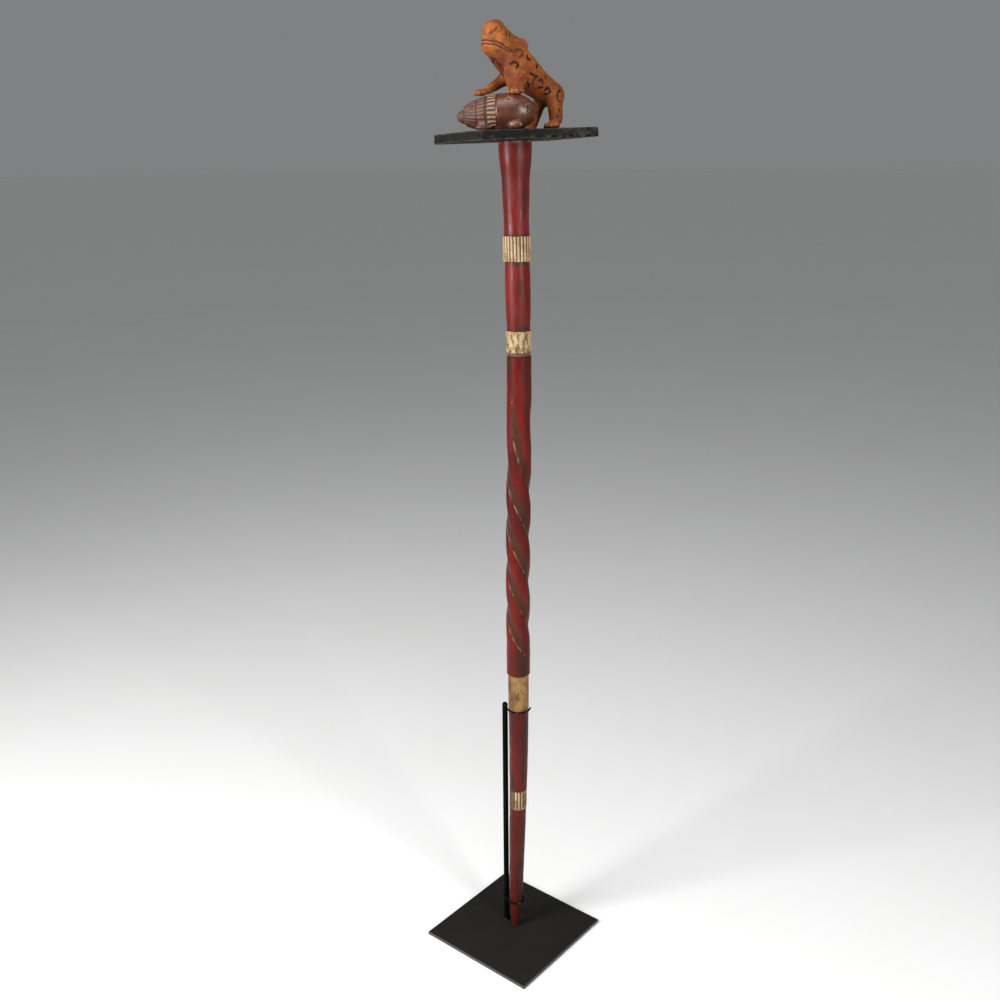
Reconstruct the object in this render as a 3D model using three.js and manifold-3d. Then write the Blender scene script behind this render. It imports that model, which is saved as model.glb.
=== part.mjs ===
// A linguist staff of carved and painted wood on its steel display stand.
// Millimetres, +Z up. The origin is the centre of the base plate's underside, and the
// plate's sides lie along X and Y. The staff's front faces about -X -Y.
import * as THREE from 'three';
import { mergeVertices } from 'three/addons/utils/BufferGeometryUtils.js';
import Module from 'manifold-3d';

const wasm = await Module();
wasm.setup();

// Clearance left between pieces that touch.
const GAP = 0.3;

// Stand
const BASE_SIDE = 222;
const BASE_THICKNESS = 6;
const BASE_EDGE = 0.8;
const BASE_CORNER_RADIUS = 2.5;
const ROD_DIAMETER = 9.5;
const ROD_CLEARANCE = 6.1;
const ROD_BEARING = 95;
const ROD_ABOVE_HOOK = 1;
const WELD_DIAMETER = 14;
const WELD_HEIGHT = 3;
const WIRE_DIAMETER = 3;
const HOOK_ABOVE_BARE_BAND = 0.5;
const HOOK_END_BEARING = 303;
const HOOK_FLICK = 0.8;
const RING_CLEARANCE = 1.4;
const RING_ABOVE_TIP = 7;

// Where the staff stands on the plate, and the slight bow of its shaft: sideways shifts
// from a plumb line at evenly spaced heights, foot first.
const STAFF_X = 8.7;
const STAFF_Y = -4.3;
const BOW_BEARING = -50;
const BOW_SHIFTS = [-5.5, 1, 1.3, 4.4, -0.3];

// Lower shaft, from the foot up. Diameters are evenly spaced up each section.
const TIP_LENGTH = 47;
const TIP_DIAMETERS = [14, 17.5, 18];
const FOOT_TAPER_LENGTH = 202;
const FOOT_TAPER_DIAMETERS = [21.5, 25.5, 27, 28.8, 29.3];
const LOW_BAND_LENGTH = 36;
const LOW_BAND_DIAMETER = 30.4;
const LOW_BAND_FLUTES = 16;
const KNEE_LENGTH = 158;
const KNEE_DIAMETERS = [30.4, 32, 33.2, 34.2];
const BARE_BAND_LENGTH = 66;
const BARE_BAND_DIAMETERS = [34.6, 35.2, 35];

// Middle shaft with its left-hand twist of three rounded grooves.
const MIDDLE_LENGTH = 544.5;
const MIDDLE_DIAMETERS = [39.6, 40.2, 40.2, 40.4, 39.8, 39.4, 38.4];
const MIDDLE_END_ROUND = 2.5;
const TWIST_GROOVES = 3;
const TWIST_LEAD = 237;
const TWIST_START = 40;
const PLAIN_TOP_LENGTH = 66;
const TWIST_EASE = 150;
const TWIST_FADE = 45;
const TWIST_BEARING = 141;
const GROOVE_DEPTH = 3.2;
const GROOVE_SHARE = 0.42;

// Upper shaft: a plain pale band, a red barrel, a fluted band and the flaring head.
const NECK_LENGTH = 3.5;
const NECK_DIAMETER = 35.4;
const PLAIN_BAND_LENGTH = 35;
const PLAIN_BAND_DIAMETERS = [39.2, 38.6, 40.4];
const BARREL_LENGTH = 105;
const BARREL_DIAMETERS = [35.6, 38, 38.8, 38.8, 37.2];
const HIGH_BAND_LENGTH = 37;
const HIGH_BAND_DIAMETER = 43;
const HIGH_BAND_FLUTES = 24;
const HEAD_LENGTH = 136;
const HEAD_DIAMETERS = [38.8, 38.2, 40.4, 41.8, 47.6, 49.6];
const FLUTE_DEPTH = 1.5;

// Board under the figures
const BOARD_LENGTH = 220;
const BOARD_WIDTH = 120;
const BOARD_THICKNESS = 14;
const BOARD_CORNER_CUT = 3;
const BOARD_BEARING = -12.2;
const BOARD_RISE = 1.7;
const BOARD_LEAN = -2;
const BOARD_SHIFT = 3.7;
const CHIP_COUNT = 6;
const CHIP_SIZE = 3.6;

// The two figures are carved to one scale, and keep their proportions with this height.
const LEOPARD_HEIGHT = 150;

// Facets
const SHAFT_SIDES = 24;
const WIRE_SIDES = 6;

const PAINT = {
  red: ['#7c1c1c', 0.38, 0],
  ivory: ['#d8c295', 0.55, 0],
  leopard: ['#b5682a', 0.35, 0],
  prey: ['#5c3129', 0.3, 0],
  board: ['#23211d', 0.6, 0],
  steel: ['#1c1c1c', 0.5, 0.4],
};

// Heights of the seams and bands.
const footZ = BASE_THICKNESS + GAP;
const ringSeatZ = footZ + TIP_LENGTH;
const lowBandZ = ringSeatZ + FOOT_TAPER_LENGTH;
const kneeZ = lowBandZ + LOW_BAND_LENGTH;
const bareBandZ = kneeZ + KNEE_LENGTH;
const middleZ = bareBandZ + BARE_BAND_LENGTH + GAP;
const middleTopZ = middleZ + MIDDLE_LENGTH;
const upperZ = middleTopZ + GAP;
const plainBandZ = upperZ + NECK_LENGTH;
const barrelZ = plainBandZ + PLAIN_BAND_LENGTH;
const highBandZ = barrelZ + BARREL_LENGTH;
const headZ = highBandZ + HIGH_BAND_LENGTH;
const boardZ = headZ + HEAD_LENGTH + GAP;

const radians = THREE.MathUtils.degToRad;

function direction(bearing) {
  return new THREE.Vector3(Math.cos(radians(bearing)), Math.sin(radians(bearing)), 0);
}

// A smooth value between evenly spaced ones, at a share from 0 to 1 of the way.
function along(values, share) {
  const points = values.map((value, index) => new THREE.Vector2(index, value));
  return new THREE.SplineCurve(points).getPoint(THREE.MathUtils.clamp(share, 0, 1)).y;
}

// The shaft's middle at a height, on its slightly bowed line.
function shaftCentre(z) {
  const share = (z - footZ) / (boardZ - footZ);
  const shift = along(BOW_SHIFTS, share);
  return new THREE.Vector3(STAFF_X, STAFF_Y, 0).addScaledVector(direction(BOW_BEARING), shift);
}

function reshape(geometry, change) {
  const position = geometry.attributes.position;
  const point = new THREE.Vector3();
  for (let index = 0; index < position.count; index += 1) {
    point.fromBufferAttribute(position, index);
    change(point);
    position.setXYZ(index, point.x, point.y, point.z);
  }
  return geometry;
}

function followBow(geometry) {
  return reshape(geometry, (point) => {
    const centre = shaftCentre(point.z);
    point.x += centre.x;
    point.y += centre.y;
  });
}

// A closed geometry as a solid that can be joined and cut.
function solid(geometry) {
  const bare = geometry.clone();
  bare.deleteAttribute('normal');
  bare.deleteAttribute('uv');
  const merged = mergeVertices(bare, 1e-4);
  const corners = merged.index.array;
  const triangles = [];
  for (let index = 0; index < corners.length; index += 3) {
    const [a, b, c] = corners.slice(index, index + 3);
    if (a !== b && b !== c && c !== a) {
      triangles.push(a, b, c);
    }
  }
  return new wasm.Manifold(new wasm.Mesh({
    numProp: 3,
    vertProperties: merged.attributes.position.array,
    triVerts: new Uint32Array(triangles),
  }));
}

function geometryOf(body) {
  const mesh = body.getMesh();
  const geometry = new THREE.BufferGeometry();
  const vertices = new Float32Array(mesh.vertProperties);
  geometry.setAttribute('position', new THREE.BufferAttribute(vertices, 3));
  geometry.setIndex(new THREE.BufferAttribute(new Uint32Array(mesh.triVerts), 1));
  geometry.computeVertexNormals();
  return geometry;
}

function joined(geometries) {
  return geometries.map(solid).reduce((whole, piece) => whole.add(piece));
}

function named(name, geometry, paint) {
  const [color, roughness, metalness] = PAINT[paint];
  const material = new THREE.MeshStandardMaterial({ color, roughness, metalness });
  const mesh = new THREE.Mesh(geometry, material);
  mesh.name = name;
  return mesh;
}

// Turned forms

function sectionPoints(bottom, length, diameters, rings) {
  const points = [];
  for (let ring = 0; ring <= rings; ring += 1) {
    const share = ring / rings;
    points.push(new THREE.Vector2(along(diameters, share) / 2, bottom + length * share));
  }
  return points;
}

// A solid turned about Z from an outline that is listed from its foot up.
function turned(points, sides) {
  const outline = [new THREE.Vector2(0, points[0].y)];
  for (const point of points) {
    if (point.distanceTo(outline.at(-1)) > 0.01) {
      outline.push(point);
    }
  }
  outline.push(new THREE.Vector2(0, outline.at(-1).y));
  return new THREE.LatheGeometry(outline, sides).rotateX(Math.PI / 2);
}

// A sleeve of rounded upright ribs, one to each flute.
function flutedBand(bottom, length, diameter, flutes) {
  const pointsPerRib = 3;
  const outline = [];
  for (let step = 0; step < flutes * pointsPerRib; step += 1) {
    const angle = (2 * Math.PI * step) / (flutes * pointsPerRib);
    const wave = Math.abs(Math.cos((angle * flutes) / 2));
    const radius = diameter / 2 - FLUTE_DEPTH * (1 - wave);
    outline.push(new THREE.Vector2(radius * Math.cos(angle), radius * Math.sin(angle)));
  }
  const sleeve = new THREE.ExtrudeGeometry(new THREE.Shape(outline), {
    depth: length,
    steps: 1,
    bevelEnabled: false,
  });
  return sleeve.translate(0, 0, bottom);
}

function lowerShaft() {
  const coreDiameter = LOW_BAND_DIAMETER - 2 * FLUTE_DEPTH - 2 * GAP;
  const outline = [
    ...sectionPoints(footZ, TIP_LENGTH, TIP_DIAMETERS, 2),
    ...sectionPoints(ringSeatZ, FOOT_TAPER_LENGTH, FOOT_TAPER_DIAMETERS, 4),
    ...sectionPoints(lowBandZ, LOW_BAND_LENGTH, [coreDiameter, coreDiameter], 1),
    ...sectionPoints(kneeZ, KNEE_LENGTH, KNEE_DIAMETERS, 3),
    ...sectionPoints(bareBandZ, BARE_BAND_LENGTH, BARE_BAND_DIAMETERS, 2),
  ];
  const band = flutedBand(lowBandZ, LOW_BAND_LENGTH, LOW_BAND_DIAMETER, LOW_BAND_FLUTES);
  const shaft = joined([turned(outline, SHAFT_SIDES), band]);
  return named('lower_shaft', followBow(geometryOf(shaft)), 'red');
}

const twistEnd = MIDDLE_LENGTH - PLAIN_TOP_LENGTH;

// How far the twist has turned at a height above the middle shaft's foot. It runs at its
// full rate up to the ease, and slows down to nothing at the twist's upper end.
function twistTurn(height) {
  const easeStart = twistEnd - TWIST_EASE;
  const steady = THREE.MathUtils.clamp(height, TWIST_START, easeStart) - TWIST_START;
  const easing = THREE.MathUtils.clamp((height - easeStart) / TWIST_EASE, 0, 1);
  const eased = TWIST_EASE * (easing - (easing * easing) / 2);
  return (-2 * Math.PI * (steady + eased)) / TWIST_LEAD;
}

function grooveDepth(height) {
  const { smoothstep } = THREE.MathUtils;
  const rising = smoothstep(height, TWIST_START, TWIST_START + TWIST_FADE);
  const falling = 1 - smoothstep(height, twistEnd - TWIST_FADE, twistEnd);
  return GROOVE_DEPTH * rising * falling;
}

// The groove's section: 1 at its middle, 0 on the ridge beside it.
function grooveShape(angle) {
  const turns = (angle * TWIST_GROOVES) / (2 * Math.PI);
  const fromMiddle = Math.abs(turns - Math.round(turns)) * 2;
  return 0.5 + 0.5 * Math.cos(Math.PI * Math.min(fromMiddle / (2 * GROOVE_SHARE), 1));
}

function middleShaft() {
  const rings = 30;
  const outline = sectionPoints(middleZ, MIDDLE_LENGTH, MIDDLE_DIAMETERS, rings);
  const foot = new THREE.Vector2(outline[0].x, middleZ + MIDDLE_END_ROUND);
  const footEdge = new THREE.Vector2(outline[0].x - MIDDLE_END_ROUND / 2, middleZ);
  outline.splice(0, 1, footEdge, foot);
  const shaft = reshape(turned(outline, SHAFT_SIDES), (point) => {
    const radius = Math.hypot(point.x, point.y);
    const angle = Math.atan2(point.y, point.x);
    const height = point.z - middleZ;
    const cut = radius > 0 ? grooveDepth(height) * grooveShape(angle) : 0;
    const turn = angle + twistTurn(height) + radians(TWIST_BEARING);
    point.x = (radius - cut) * Math.cos(turn);
    point.y = (radius - cut) * Math.sin(turn);
  });
  return named('middle_shaft', followBow(geometryOf(solid(shaft))), 'red');
}

function upperShaft(finialMatrix) {
  const coreDiameter = HIGH_BAND_DIAMETER - 2 * FLUTE_DEPTH - 2 * GAP;
  const spare = BOARD_THICKNESS / 2;
  const outline = [
    ...sectionPoints(upperZ, NECK_LENGTH, [NECK_DIAMETER, NECK_DIAMETER], 1),
    ...sectionPoints(plainBandZ, PLAIN_BAND_LENGTH, PLAIN_BAND_DIAMETERS, 2),
    ...sectionPoints(barrelZ, BARREL_LENGTH, BARREL_DIAMETERS, 4),
    ...sectionPoints(highBandZ, HIGH_BAND_LENGTH, [coreDiameter, coreDiameter], 1),
    ...sectionPoints(headZ, HEAD_LENGTH, HEAD_DIAMETERS, 6),
    new THREE.Vector2(HEAD_DIAMETERS.at(-1) / 2, boardZ + spare),
  ];
  const band = flutedBand(highBandZ, HIGH_BAND_LENGTH, HIGH_BAND_DIAMETER, HIGH_BAND_FLUTES);
  const shaft = followBow(geometryOf(joined([turned(outline, SHAFT_SIDES), band])));
  const above = new THREE.BoxGeometry(BOARD_LENGTH, BOARD_WIDTH, 4 * spare);
  above.translate(0, 0, 2 * spare - GAP).applyMatrix4(finialMatrix);
  return named('upper_shaft', geometryOf(solid(shaft).subtract(solid(above))), 'red');
}

// Stand

function standBase() {
  const half = BASE_SIDE / 2 - BASE_EDGE;
  const corner = BASE_CORNER_RADIUS;
  const outline = new THREE.Shape();
  outline.absarc(half - corner, half - corner, corner, 0, Math.PI / 2);
  outline.absarc(corner - half, half - corner, corner, Math.PI / 2, Math.PI);
  outline.absarc(corner - half, corner - half, corner, Math.PI, 1.5 * Math.PI);
  outline.absarc(half - corner, corner - half, corner, 1.5 * Math.PI, 2 * Math.PI);
  const plate = new THREE.ExtrudeGeometry(outline, {
    depth: BASE_THICKNESS - 2 * BASE_EDGE,
    curveSegments: 2,
    bevelThickness: BASE_EDGE,
    bevelSize: BASE_EDGE,
    bevelSegments: 1,
  });
  return named('stand_base', plate.translate(0, 0, BASE_EDGE), 'steel');
}

const hookZ = bareBandZ + HOOK_ABOVE_BARE_BAND;
const ringZ = ringSeatZ + RING_ABOVE_TIP;
const hookShaftRadius = Math.max(KNEE_DIAMETERS.at(-1), ...BARE_BAND_DIAMETERS) / 2;
const rodDistance = hookShaftRadius + ROD_CLEARANCE + ROD_DIAMETER / 2;
const rodCentre = shaftCentre(hookZ).addScaledVector(direction(ROD_BEARING), rodDistance);

function standRod() {
  const radius = ROD_DIAMETER / 2;
  const top = hookZ + ROD_ABOVE_HOOK + WIRE_DIAMETER / 2;
  const outline = [
    new THREE.Vector2(WELD_DIAMETER / 2, footZ),
    new THREE.Vector2((WELD_DIAMETER + ROD_DIAMETER) / 4, footZ + WELD_HEIGHT / 3),
    new THREE.Vector2(radius, footZ + WELD_HEIGHT),
  ];
  for (const angle of [0, 30, 60, 82]) {
    const across = radius * Math.cos(radians(angle));
    outline.push(new THREE.Vector2(across, top - radius + radius * Math.sin(radians(angle))));
  }
  const rod = turned(outline, 12).translate(rodCentre.x, rodCentre.y, 0);
  return named('stand_rod', rod, 'steel');
}

// Round wire along a smooth line through the given points.
function wire(points, steps) {
  const section = new THREE.Shape();
  for (let side = 0; side < WIRE_SIDES; side += 1) {
    const angle = (2 * Math.PI * side) / WIRE_SIDES;
    const x = (WIRE_DIAMETER / 2) * Math.cos(angle);
    const y = (WIRE_DIAMETER / 2) * Math.sin(angle);
    if (side === 0) {
      section.moveTo(x, y);
    } else {
      section.lineTo(x, y);
    }
  }
  section.closePath();
  return new THREE.ExtrudeGeometry(section, {
    steps,
    bevelEnabled: false,
    extrudePath: new THREE.CatmullRomCurve3(points),
  });
}

// A point beside the rod, where a wire is welded to it.
function besideRod(bearing, z) {
  const reach = (ROD_DIAMETER + WIRE_DIAMETER) / 2 + GAP;
  return rodCentre.clone().addScaledVector(direction(bearing), reach).setZ(z);
}

function arcPoints(centre, radius, from, to, count, z) {
  const points = [];
  for (let step = 0; step <= count; step += 1) {
    const bearing = from + ((to - from) * step) / count;
    points.push(centre.clone().addScaledVector(direction(bearing), radius).setZ(z));
  }
  return points;
}

// The open hook that the staff leans in: from the rod round the shaft's front, with its
// free end flicked up.
function standUpperHook() {
  const centre = shaftCentre(hookZ);
  const radius = hookShaftRadius + WIRE_DIAMETER / 2 + 2 * GAP;
  const points = [
    besideRod(ROD_BEARING + 135, hookZ),
    ...arcPoints(centre, radius, ROD_BEARING + 50, HOOK_END_BEARING - 14, 8, hookZ),
  ];
  const end = centre.clone().addScaledVector(direction(HOOK_END_BEARING), radius + WIRE_DIAMETER / 4);
  points.push(end.setZ(hookZ + HOOK_FLICK));
  return named('stand_upper_hook', wire(points, 22), 'steel');
}

// The ring that holds the staff's foot, welded to the rod at both ends.
function standLowerRing() {
  const centre = shaftCentre(ringZ);
  const toRod = rodCentre.clone().sub(centre);
  const rodBearing = THREE.MathUtils.radToDeg(Math.atan2(toRod.y, toRod.x));
  const shaftRadius = along(FOOT_TAPER_DIAMETERS, RING_ABOVE_TIP / FOOT_TAPER_LENGTH) / 2;
  const radius = shaftRadius + RING_CLEARANCE + WIRE_DIAMETER / 2;
  const points = [
    besideRod(rodBearing + 90, ringZ),
    ...arcPoints(centre, radius, rodBearing + 60, rodBearing + 300, 9, ringZ),
    besideRod(rodBearing - 90, ringZ),
  ];
  return named('stand_lower_ring', wire(points, 24), 'steel');
}

// Carved forms

// A ball stretched to three half sizes, pitched nose-up in degrees, then turned.
function ball(centre, halfSizes, pitch = 0, bearing = 0, sides = 8) {
  const geometry = new THREE.SphereGeometry(1, sides, Math.round(sides * 0.7));
  geometry.rotateX(Math.PI / 2).scale(...halfSizes);
  geometry.rotateY(radians(pitch)).rotateZ(radians(bearing));
  return geometry.translate(...centre);
}

// 1 along the middle of a form, rounding off to 0 over a share of its length at each end.
function roundEnds(share, firstEnd, lastEnd) {
  const first = Math.max(0, 1 - share / firstEnd);
  const last = Math.max(0, 1 - (1 - share) / lastEnd);
  const past = Math.max(first, last);
  return Math.sqrt(Math.max(0, 1 - past * past));
}

function evenRows(rings) {
  return Array.from({ length: rings + 1 }, (_, row) => row / rings);
}

// A rounded form along a smooth line. Its half widths and half heights are evenly spaced
// along the line. Rows are the shares of its length where its skin has points, and relief
// raises the skin by angle and share.
function limb(points, halfWidths, halfHeights, options = {}) {
  const { sides = 8, rings = 8, ends = [0.12, 0.12], relief = () => 0 } = options;
  const { rows = evenRows(rings) } = options;
  const path = new THREE.CatmullRomCurve3(points.map((place) => new THREE.Vector3(...place)));
  const geometry = new THREE.SphereGeometry(1, sides, rows.length - 1);
  return reshape(geometry, (point) => {
    const polar = Math.acos(THREE.MathUtils.clamp(point.y, -1, 1)) / Math.PI;
    const share = rows[Math.round(polar * (rows.length - 1))];
    const angle = Math.atan2(point.z, point.x);
    const tangent = path.getTangent(share);
    const across = new THREE.Vector3(0, 1, 0);
    across.addScaledVector(tangent, -across.dot(tangent)).normalize();
    const upward = new THREE.Vector3().crossVectors(tangent, across);
    const fullness = roundEnds(share, ...ends);
    const raised = relief(angle, share) * fullness;
    const width = along(halfWidths, share) * fullness + raised;
    const height = along(halfHeights, share) * fullness + raised;
    point.copy(path.getPoint(share));
    point.addScaledVector(across, width * Math.cos(angle));
    point.addScaledVector(upward, height * Math.sin(angle));
  });
}

// The figures are drawn at a height of 150 and then scaled. They stand on z = 0, with X
// towards the leopard's tail and Y towards its right side.
const figureScale = LEOPARD_HEIGHT / 150;
const preyPlace = [-31, 6];
const preyMiddle = 25;
const PREY_BEARING = -46;

function leopardTrunk() {
  const spine = [
    [86, 0, 44], [67, 0, 50], [48, 0, 60.5], [28, 0, 73], [10, 0, 87],
    [-7, 0, 100], [-21, 0, 113], [-33, 0, 124], [-42, 0, 131],
  ];
  const halfWidths = [21, 24, 23, 23, 25, 24, 22, 20, 17];
  const halfHeights = [17, 18, 19.5, 23, 24.5, 25, 24.5, 23, 19];
  return limb(spine, halfWidths, halfHeights, { sides: 14, rings: 14, ends: [0.13, 0.1] });
}

function leopardHead() {
  const headPitch = 27;
  return [
    ball([-33.5, 0, 131], [19, 17, 16.5], headPitch, 0, 12),
    ball([-40, 0, 114.5], [15.5, 16, 12.5], headPitch, 0, 12),
    ball([-37, 0, 123], [17, 16, 13], headPitch),
    ball([-28, 0, 142], [11, 11, 7.5], headPitch),
    ...[-1, 1].map((side) => ball([4, side * 15, 115.5], [8, 5.5, 7.5], 45)),
  ];
}

// A foot with three toes at its front.
function paw([x, y, z], [length, width, height], bearing) {
  const toes = [-1, 0, 1].map((toe) => {
    const ahead = direction(bearing + 180).multiplyScalar(length * (toe === 0 ? 0.8 : 0.68));
    const sideways = direction(bearing + 90).multiplyScalar(toe * width * 0.58);
    const centre = ahead.add(sideways).add(new THREE.Vector3(x, y, z - height * 0.2));
    return ball(centre.toArray(), [length * 0.38, width * 0.37, height * 0.75], 0, bearing, 6);
  });
  return [ball([x, y, z], [length * 0.85, width, height], 0, bearing), ...toes];
}

// A hind leg from its thigh down, with how far back its knee and its ankle are.
function hindLeg(side, knee, ankle, fullness) {
  const leg = [[62, 15, 48], [knee, 20, 32], [(knee + 2 * ankle) / 3, 23, 17], [ankle, 24, 6]];
  const points = leg.map(([x, y, z]) => [x, side * y, z]);
  const halfLengths = [14, 12, 11, 9.5].map((half) => half * fullness);
  return [
    ball([62, side * 15.5, 45], [15.5 * fullness, 11, 17 * fullness], -10),
    limb(points, [12, 11, 9.5, 8.5], halfLengths, { rings: 6 }),
    ...paw([ankle - 5.5, side * 24, 5], [13, 9, 6.5], side * -4),
  ];
}

// The near forepaw stands on the prey's back, and the far one reaches out along it.
function nearForeleg() {
  const points = [[3, -16, 88], [0, -20, 76], [-3, -19, 64], [-5, -16, 54]];
  return [
    ball([-3, -16, 82], [15, 10, 17], 25),
    limb(points, [11, 10, 9.5, 9], [17, 16, 14.5, 13], { rings: 6 }),
    ...paw([-10, -15, 53.5], [13, 10, 5.5], 20),
  ];
}

function farForeleg() {
  const points = [[0, 16, 76], [-12, 20, 68], [-25, 22, 61], [-39, 22, 56]];
  return [
    ball([-1, 14, 78], [13, 10, 16], 25),
    limb(points, [11, 8.5, 7, 6.5], [12, 8.5, 7, 6], { rings: 6 }),
    ...paw([-45, 22, 54.5], [11, 8, 5], 0),
  ];
}

function leopardTail() {
  const points = [[80, 5, 57], [87, 9, 50], [86, 13, 36], [80, 17, 22], [73, 18, 13]];
  return limb(points, [5, 4, 3.6, 3.6, 3.8], [5, 4, 3.6, 3.6, 3.8], { sides: 6, rings: 9 });
}

// The prey's quilled rear: narrow ridges, then broad ones between cut rings.
const QUILL_RIDGES = 12;
const CUT_RINGS = [0.335, 0.365, 0.48];

function quillRelief(angle, share) {
  if (CUT_RINGS.includes(share)) {
    return -1;
  }
  return share < CUT_RINGS.at(-1) ? 0.8 * Math.cos(QUILL_RIDGES * angle) : 0;
}

// Places of the rows along the prey, close on both sides of each cut ring.
function preyRows() {
  const besideRings = CUT_RINGS.flatMap((ring) => [ring - 0.01, ring, ring + 0.01]);
  return [0, 0.03, 0.12, 0.23, ...besideRings, 0.6, 0.72, 0.83, 0.91, 0.965, 1];
}

// The prey crouches along X with its head at +X.
function preyForms() {
  const body = [[-49, 0, 23], [-22, 0, 24.5], [4, 0, 25.5], [30, 0, 25], [57.5, 0, 21.5]];
  const halfSizes = [13, 21, 25.3, 26, 25, 21.5];
  const options = { sides: 2 * QUILL_RIDGES, rows: preyRows(), ends: [0.05, 0.23], relief: quillRelief };
  const forms = [
    limb(body, halfSizes, halfSizes, options),
    limb([[-59, 0, 22], [-54, 0, 22.5], [-44, 0, 23]], [2.5, 6, 8], [2.5, 6, 8], { rings: 6 }),
  ];
  for (const side of [-1, 1]) {
    forms.push(ball([20, side * 12, 46], [4.5, 3.5, 4], 0, 0, 8));
    forms.push(ball([28, side * 20, 7], [12, 7, 7], 0, side * 12));
    forms.push(ball([-18, side * 19, 7], [12, 7, 7]));
  }
  return forms;
}

// Everything below a height is cut off, which leaves a flat foot there.
function cutBelow(body, z) {
  const reach = 4 * LEOPARD_HEIGHT;
  const block = new THREE.BoxGeometry(reach, reach, reach).translate(0, 0, z - reach / 2);
  return body.subtract(solid(block));
}

function placedPrey(growth) {
  const scale = figureScale * (1 + growth / preyMiddle);
  const lift = preyMiddle * (figureScale - scale);
  const form = geometryOf(joined(preyForms())).scale(scale, scale, scale);
  const [x, y] = preyPlace;
  return form.rotateZ(radians(PREY_BEARING)).translate(x * figureScale, y * figureScale, lift);
}

function prey() {
  const geometry = geometryOf(cutBelow(solid(placedPrey(0)), GAP));
  return named('quilled_prey', geometry.translate(0, 0, BOARD_THICKNESS), 'prey');
}

function leopard() {
  const forms = [
    leopardTrunk(),
    ...leopardHead(),
    ...hindLeg(-1, 58, 55, 1),
    ...hindLeg(1, 58, 50, 0.72),
    ...nearForeleg(),
    ...farForeleg(),
    leopardTail(),
  ];
  const whole = geometryOf(joined(forms)).scale(figureScale, figureScale, figureScale);
  const body = solid(whole).subtract(solid(placedPrey(GAP)));
  const geometry = geometryOf(cutBelow(body, GAP));
  return named('leopard', geometry.translate(0, 0, BOARD_THICKNESS), 'leopard');
}

function board() {
  const length = BOARD_LENGTH / 2;
  const width = BOARD_WIDTH / 2;
  const cut = BOARD_CORNER_CUT;
  const outline = new THREE.Shape([
    new THREE.Vector2(-length, cut - width),
    new THREE.Vector2(cut - length, -width),
    new THREE.Vector2(length - cut, -width),
    new THREE.Vector2(length, cut - width),
    new THREE.Vector2(length, width - cut),
    new THREE.Vector2(length - cut, width),
    new THREE.Vector2(cut - length, width),
    new THREE.Vector2(-length, width - cut),
  ]);
  const slab = new THREE.ExtrudeGeometry(outline, { depth: BOARD_THICKNESS, bevelEnabled: false });
  let body = solid(slab);
  for (let chip = 0; chip < CHIP_COUNT; chip += 1) {
    const x = (length * (chip + 1.2)) / (CHIP_COUNT + 0.6);
    const size = CHIP_SIZE * (0.75 + 0.25 * Math.cos(3 * chip));
    body = body.subtract(solid(ball([x, -width, 0], [1.5 * size, size, size], 0, 0, 6)));
  }
  return named('figure_board', geometryOf(body), 'board');
}

// Assembly

const finial = new THREE.Group();
const finialCentre = shaftCentre(boardZ).addScaledVector(direction(BOW_BEARING), BOARD_SHIFT);
finial.position.set(finialCentre.x, finialCentre.y, boardZ);
finial.rotation.set(radians(BOARD_LEAN), radians(-BOARD_RISE), radians(BOARD_BEARING), 'ZYX');
finial.updateMatrixWorld();
finial.add(board(), leopard(), prey());

const staff = new THREE.Group();
staff.add(standBase(), standRod(), standUpperHook(), standLowerRing());
staff.add(lowerShaft(), middleShaft(), upperShaft(finial.matrixWorld), finial);

export default staff;
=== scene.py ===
import math

import bmesh
import bpy
import numpy as np
from mathutils import Matrix, Vector
from mathutils.bvhtree import BVHTree


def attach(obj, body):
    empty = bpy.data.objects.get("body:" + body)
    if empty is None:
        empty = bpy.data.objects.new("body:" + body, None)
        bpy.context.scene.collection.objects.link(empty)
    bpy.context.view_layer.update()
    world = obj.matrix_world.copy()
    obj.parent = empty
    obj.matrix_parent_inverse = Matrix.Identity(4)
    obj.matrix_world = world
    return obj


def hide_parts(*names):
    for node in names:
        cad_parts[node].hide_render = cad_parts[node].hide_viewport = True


# The looks of a linguist staff on its steel stand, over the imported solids.
# Sizes are in millimetres and become metres where a mesh is written.

MM = 0.001
GAP = 0.3

# Stand
BASE_SIDE = 222
BASE_THICKNESS = 6
BASE_EDGE = 0.8
ROD_DIAMETER = 9.5
ROD_CLEARANCE = 6.1
ROD_BEARING = 95
ROD_ABOVE_HOOK = 1
WELD_DIAMETER = 14
WELD_HEIGHT = 3
WIRE_DIAMETER = 3
WIRE_RINGS = 110
HOOK_ABOVE_BARE_BAND = 0.5
HOOK_END_BEARING = 303
HOOK_FLICK = 0.8
RING_CLEARANCE = 1.4
RING_ABOVE_TIP = 7

# Where the staff stands, and its slight bow
STAFF_X = 8.7
STAFF_Y = -4.3
BOW_BEARING = -50
BOW_SHIFTS = [-5.5, 1, 1.3, 4.4, -0.3]

# Lower shaft, from the foot up
TIP_LENGTH = 47
TIP_DIAMETERS = [14, 17.5, 18]
FOOT_TAPER_LENGTH = 202
FOOT_TAPER_DIAMETERS = [21.5, 25.5, 27, 28.8, 29.3]
LOW_BAND_LENGTH = 36
LOW_BAND_DIAMETER = 30.4
LOW_BAND_FLUTES = 16
KNEE_LENGTH = 158
KNEE_DIAMETERS = [30.4, 32, 33.2, 34.2]
BARE_BAND_LENGTH = 66
BARE_BAND_DIAMETERS = [34.6, 35.2, 35]

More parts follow.
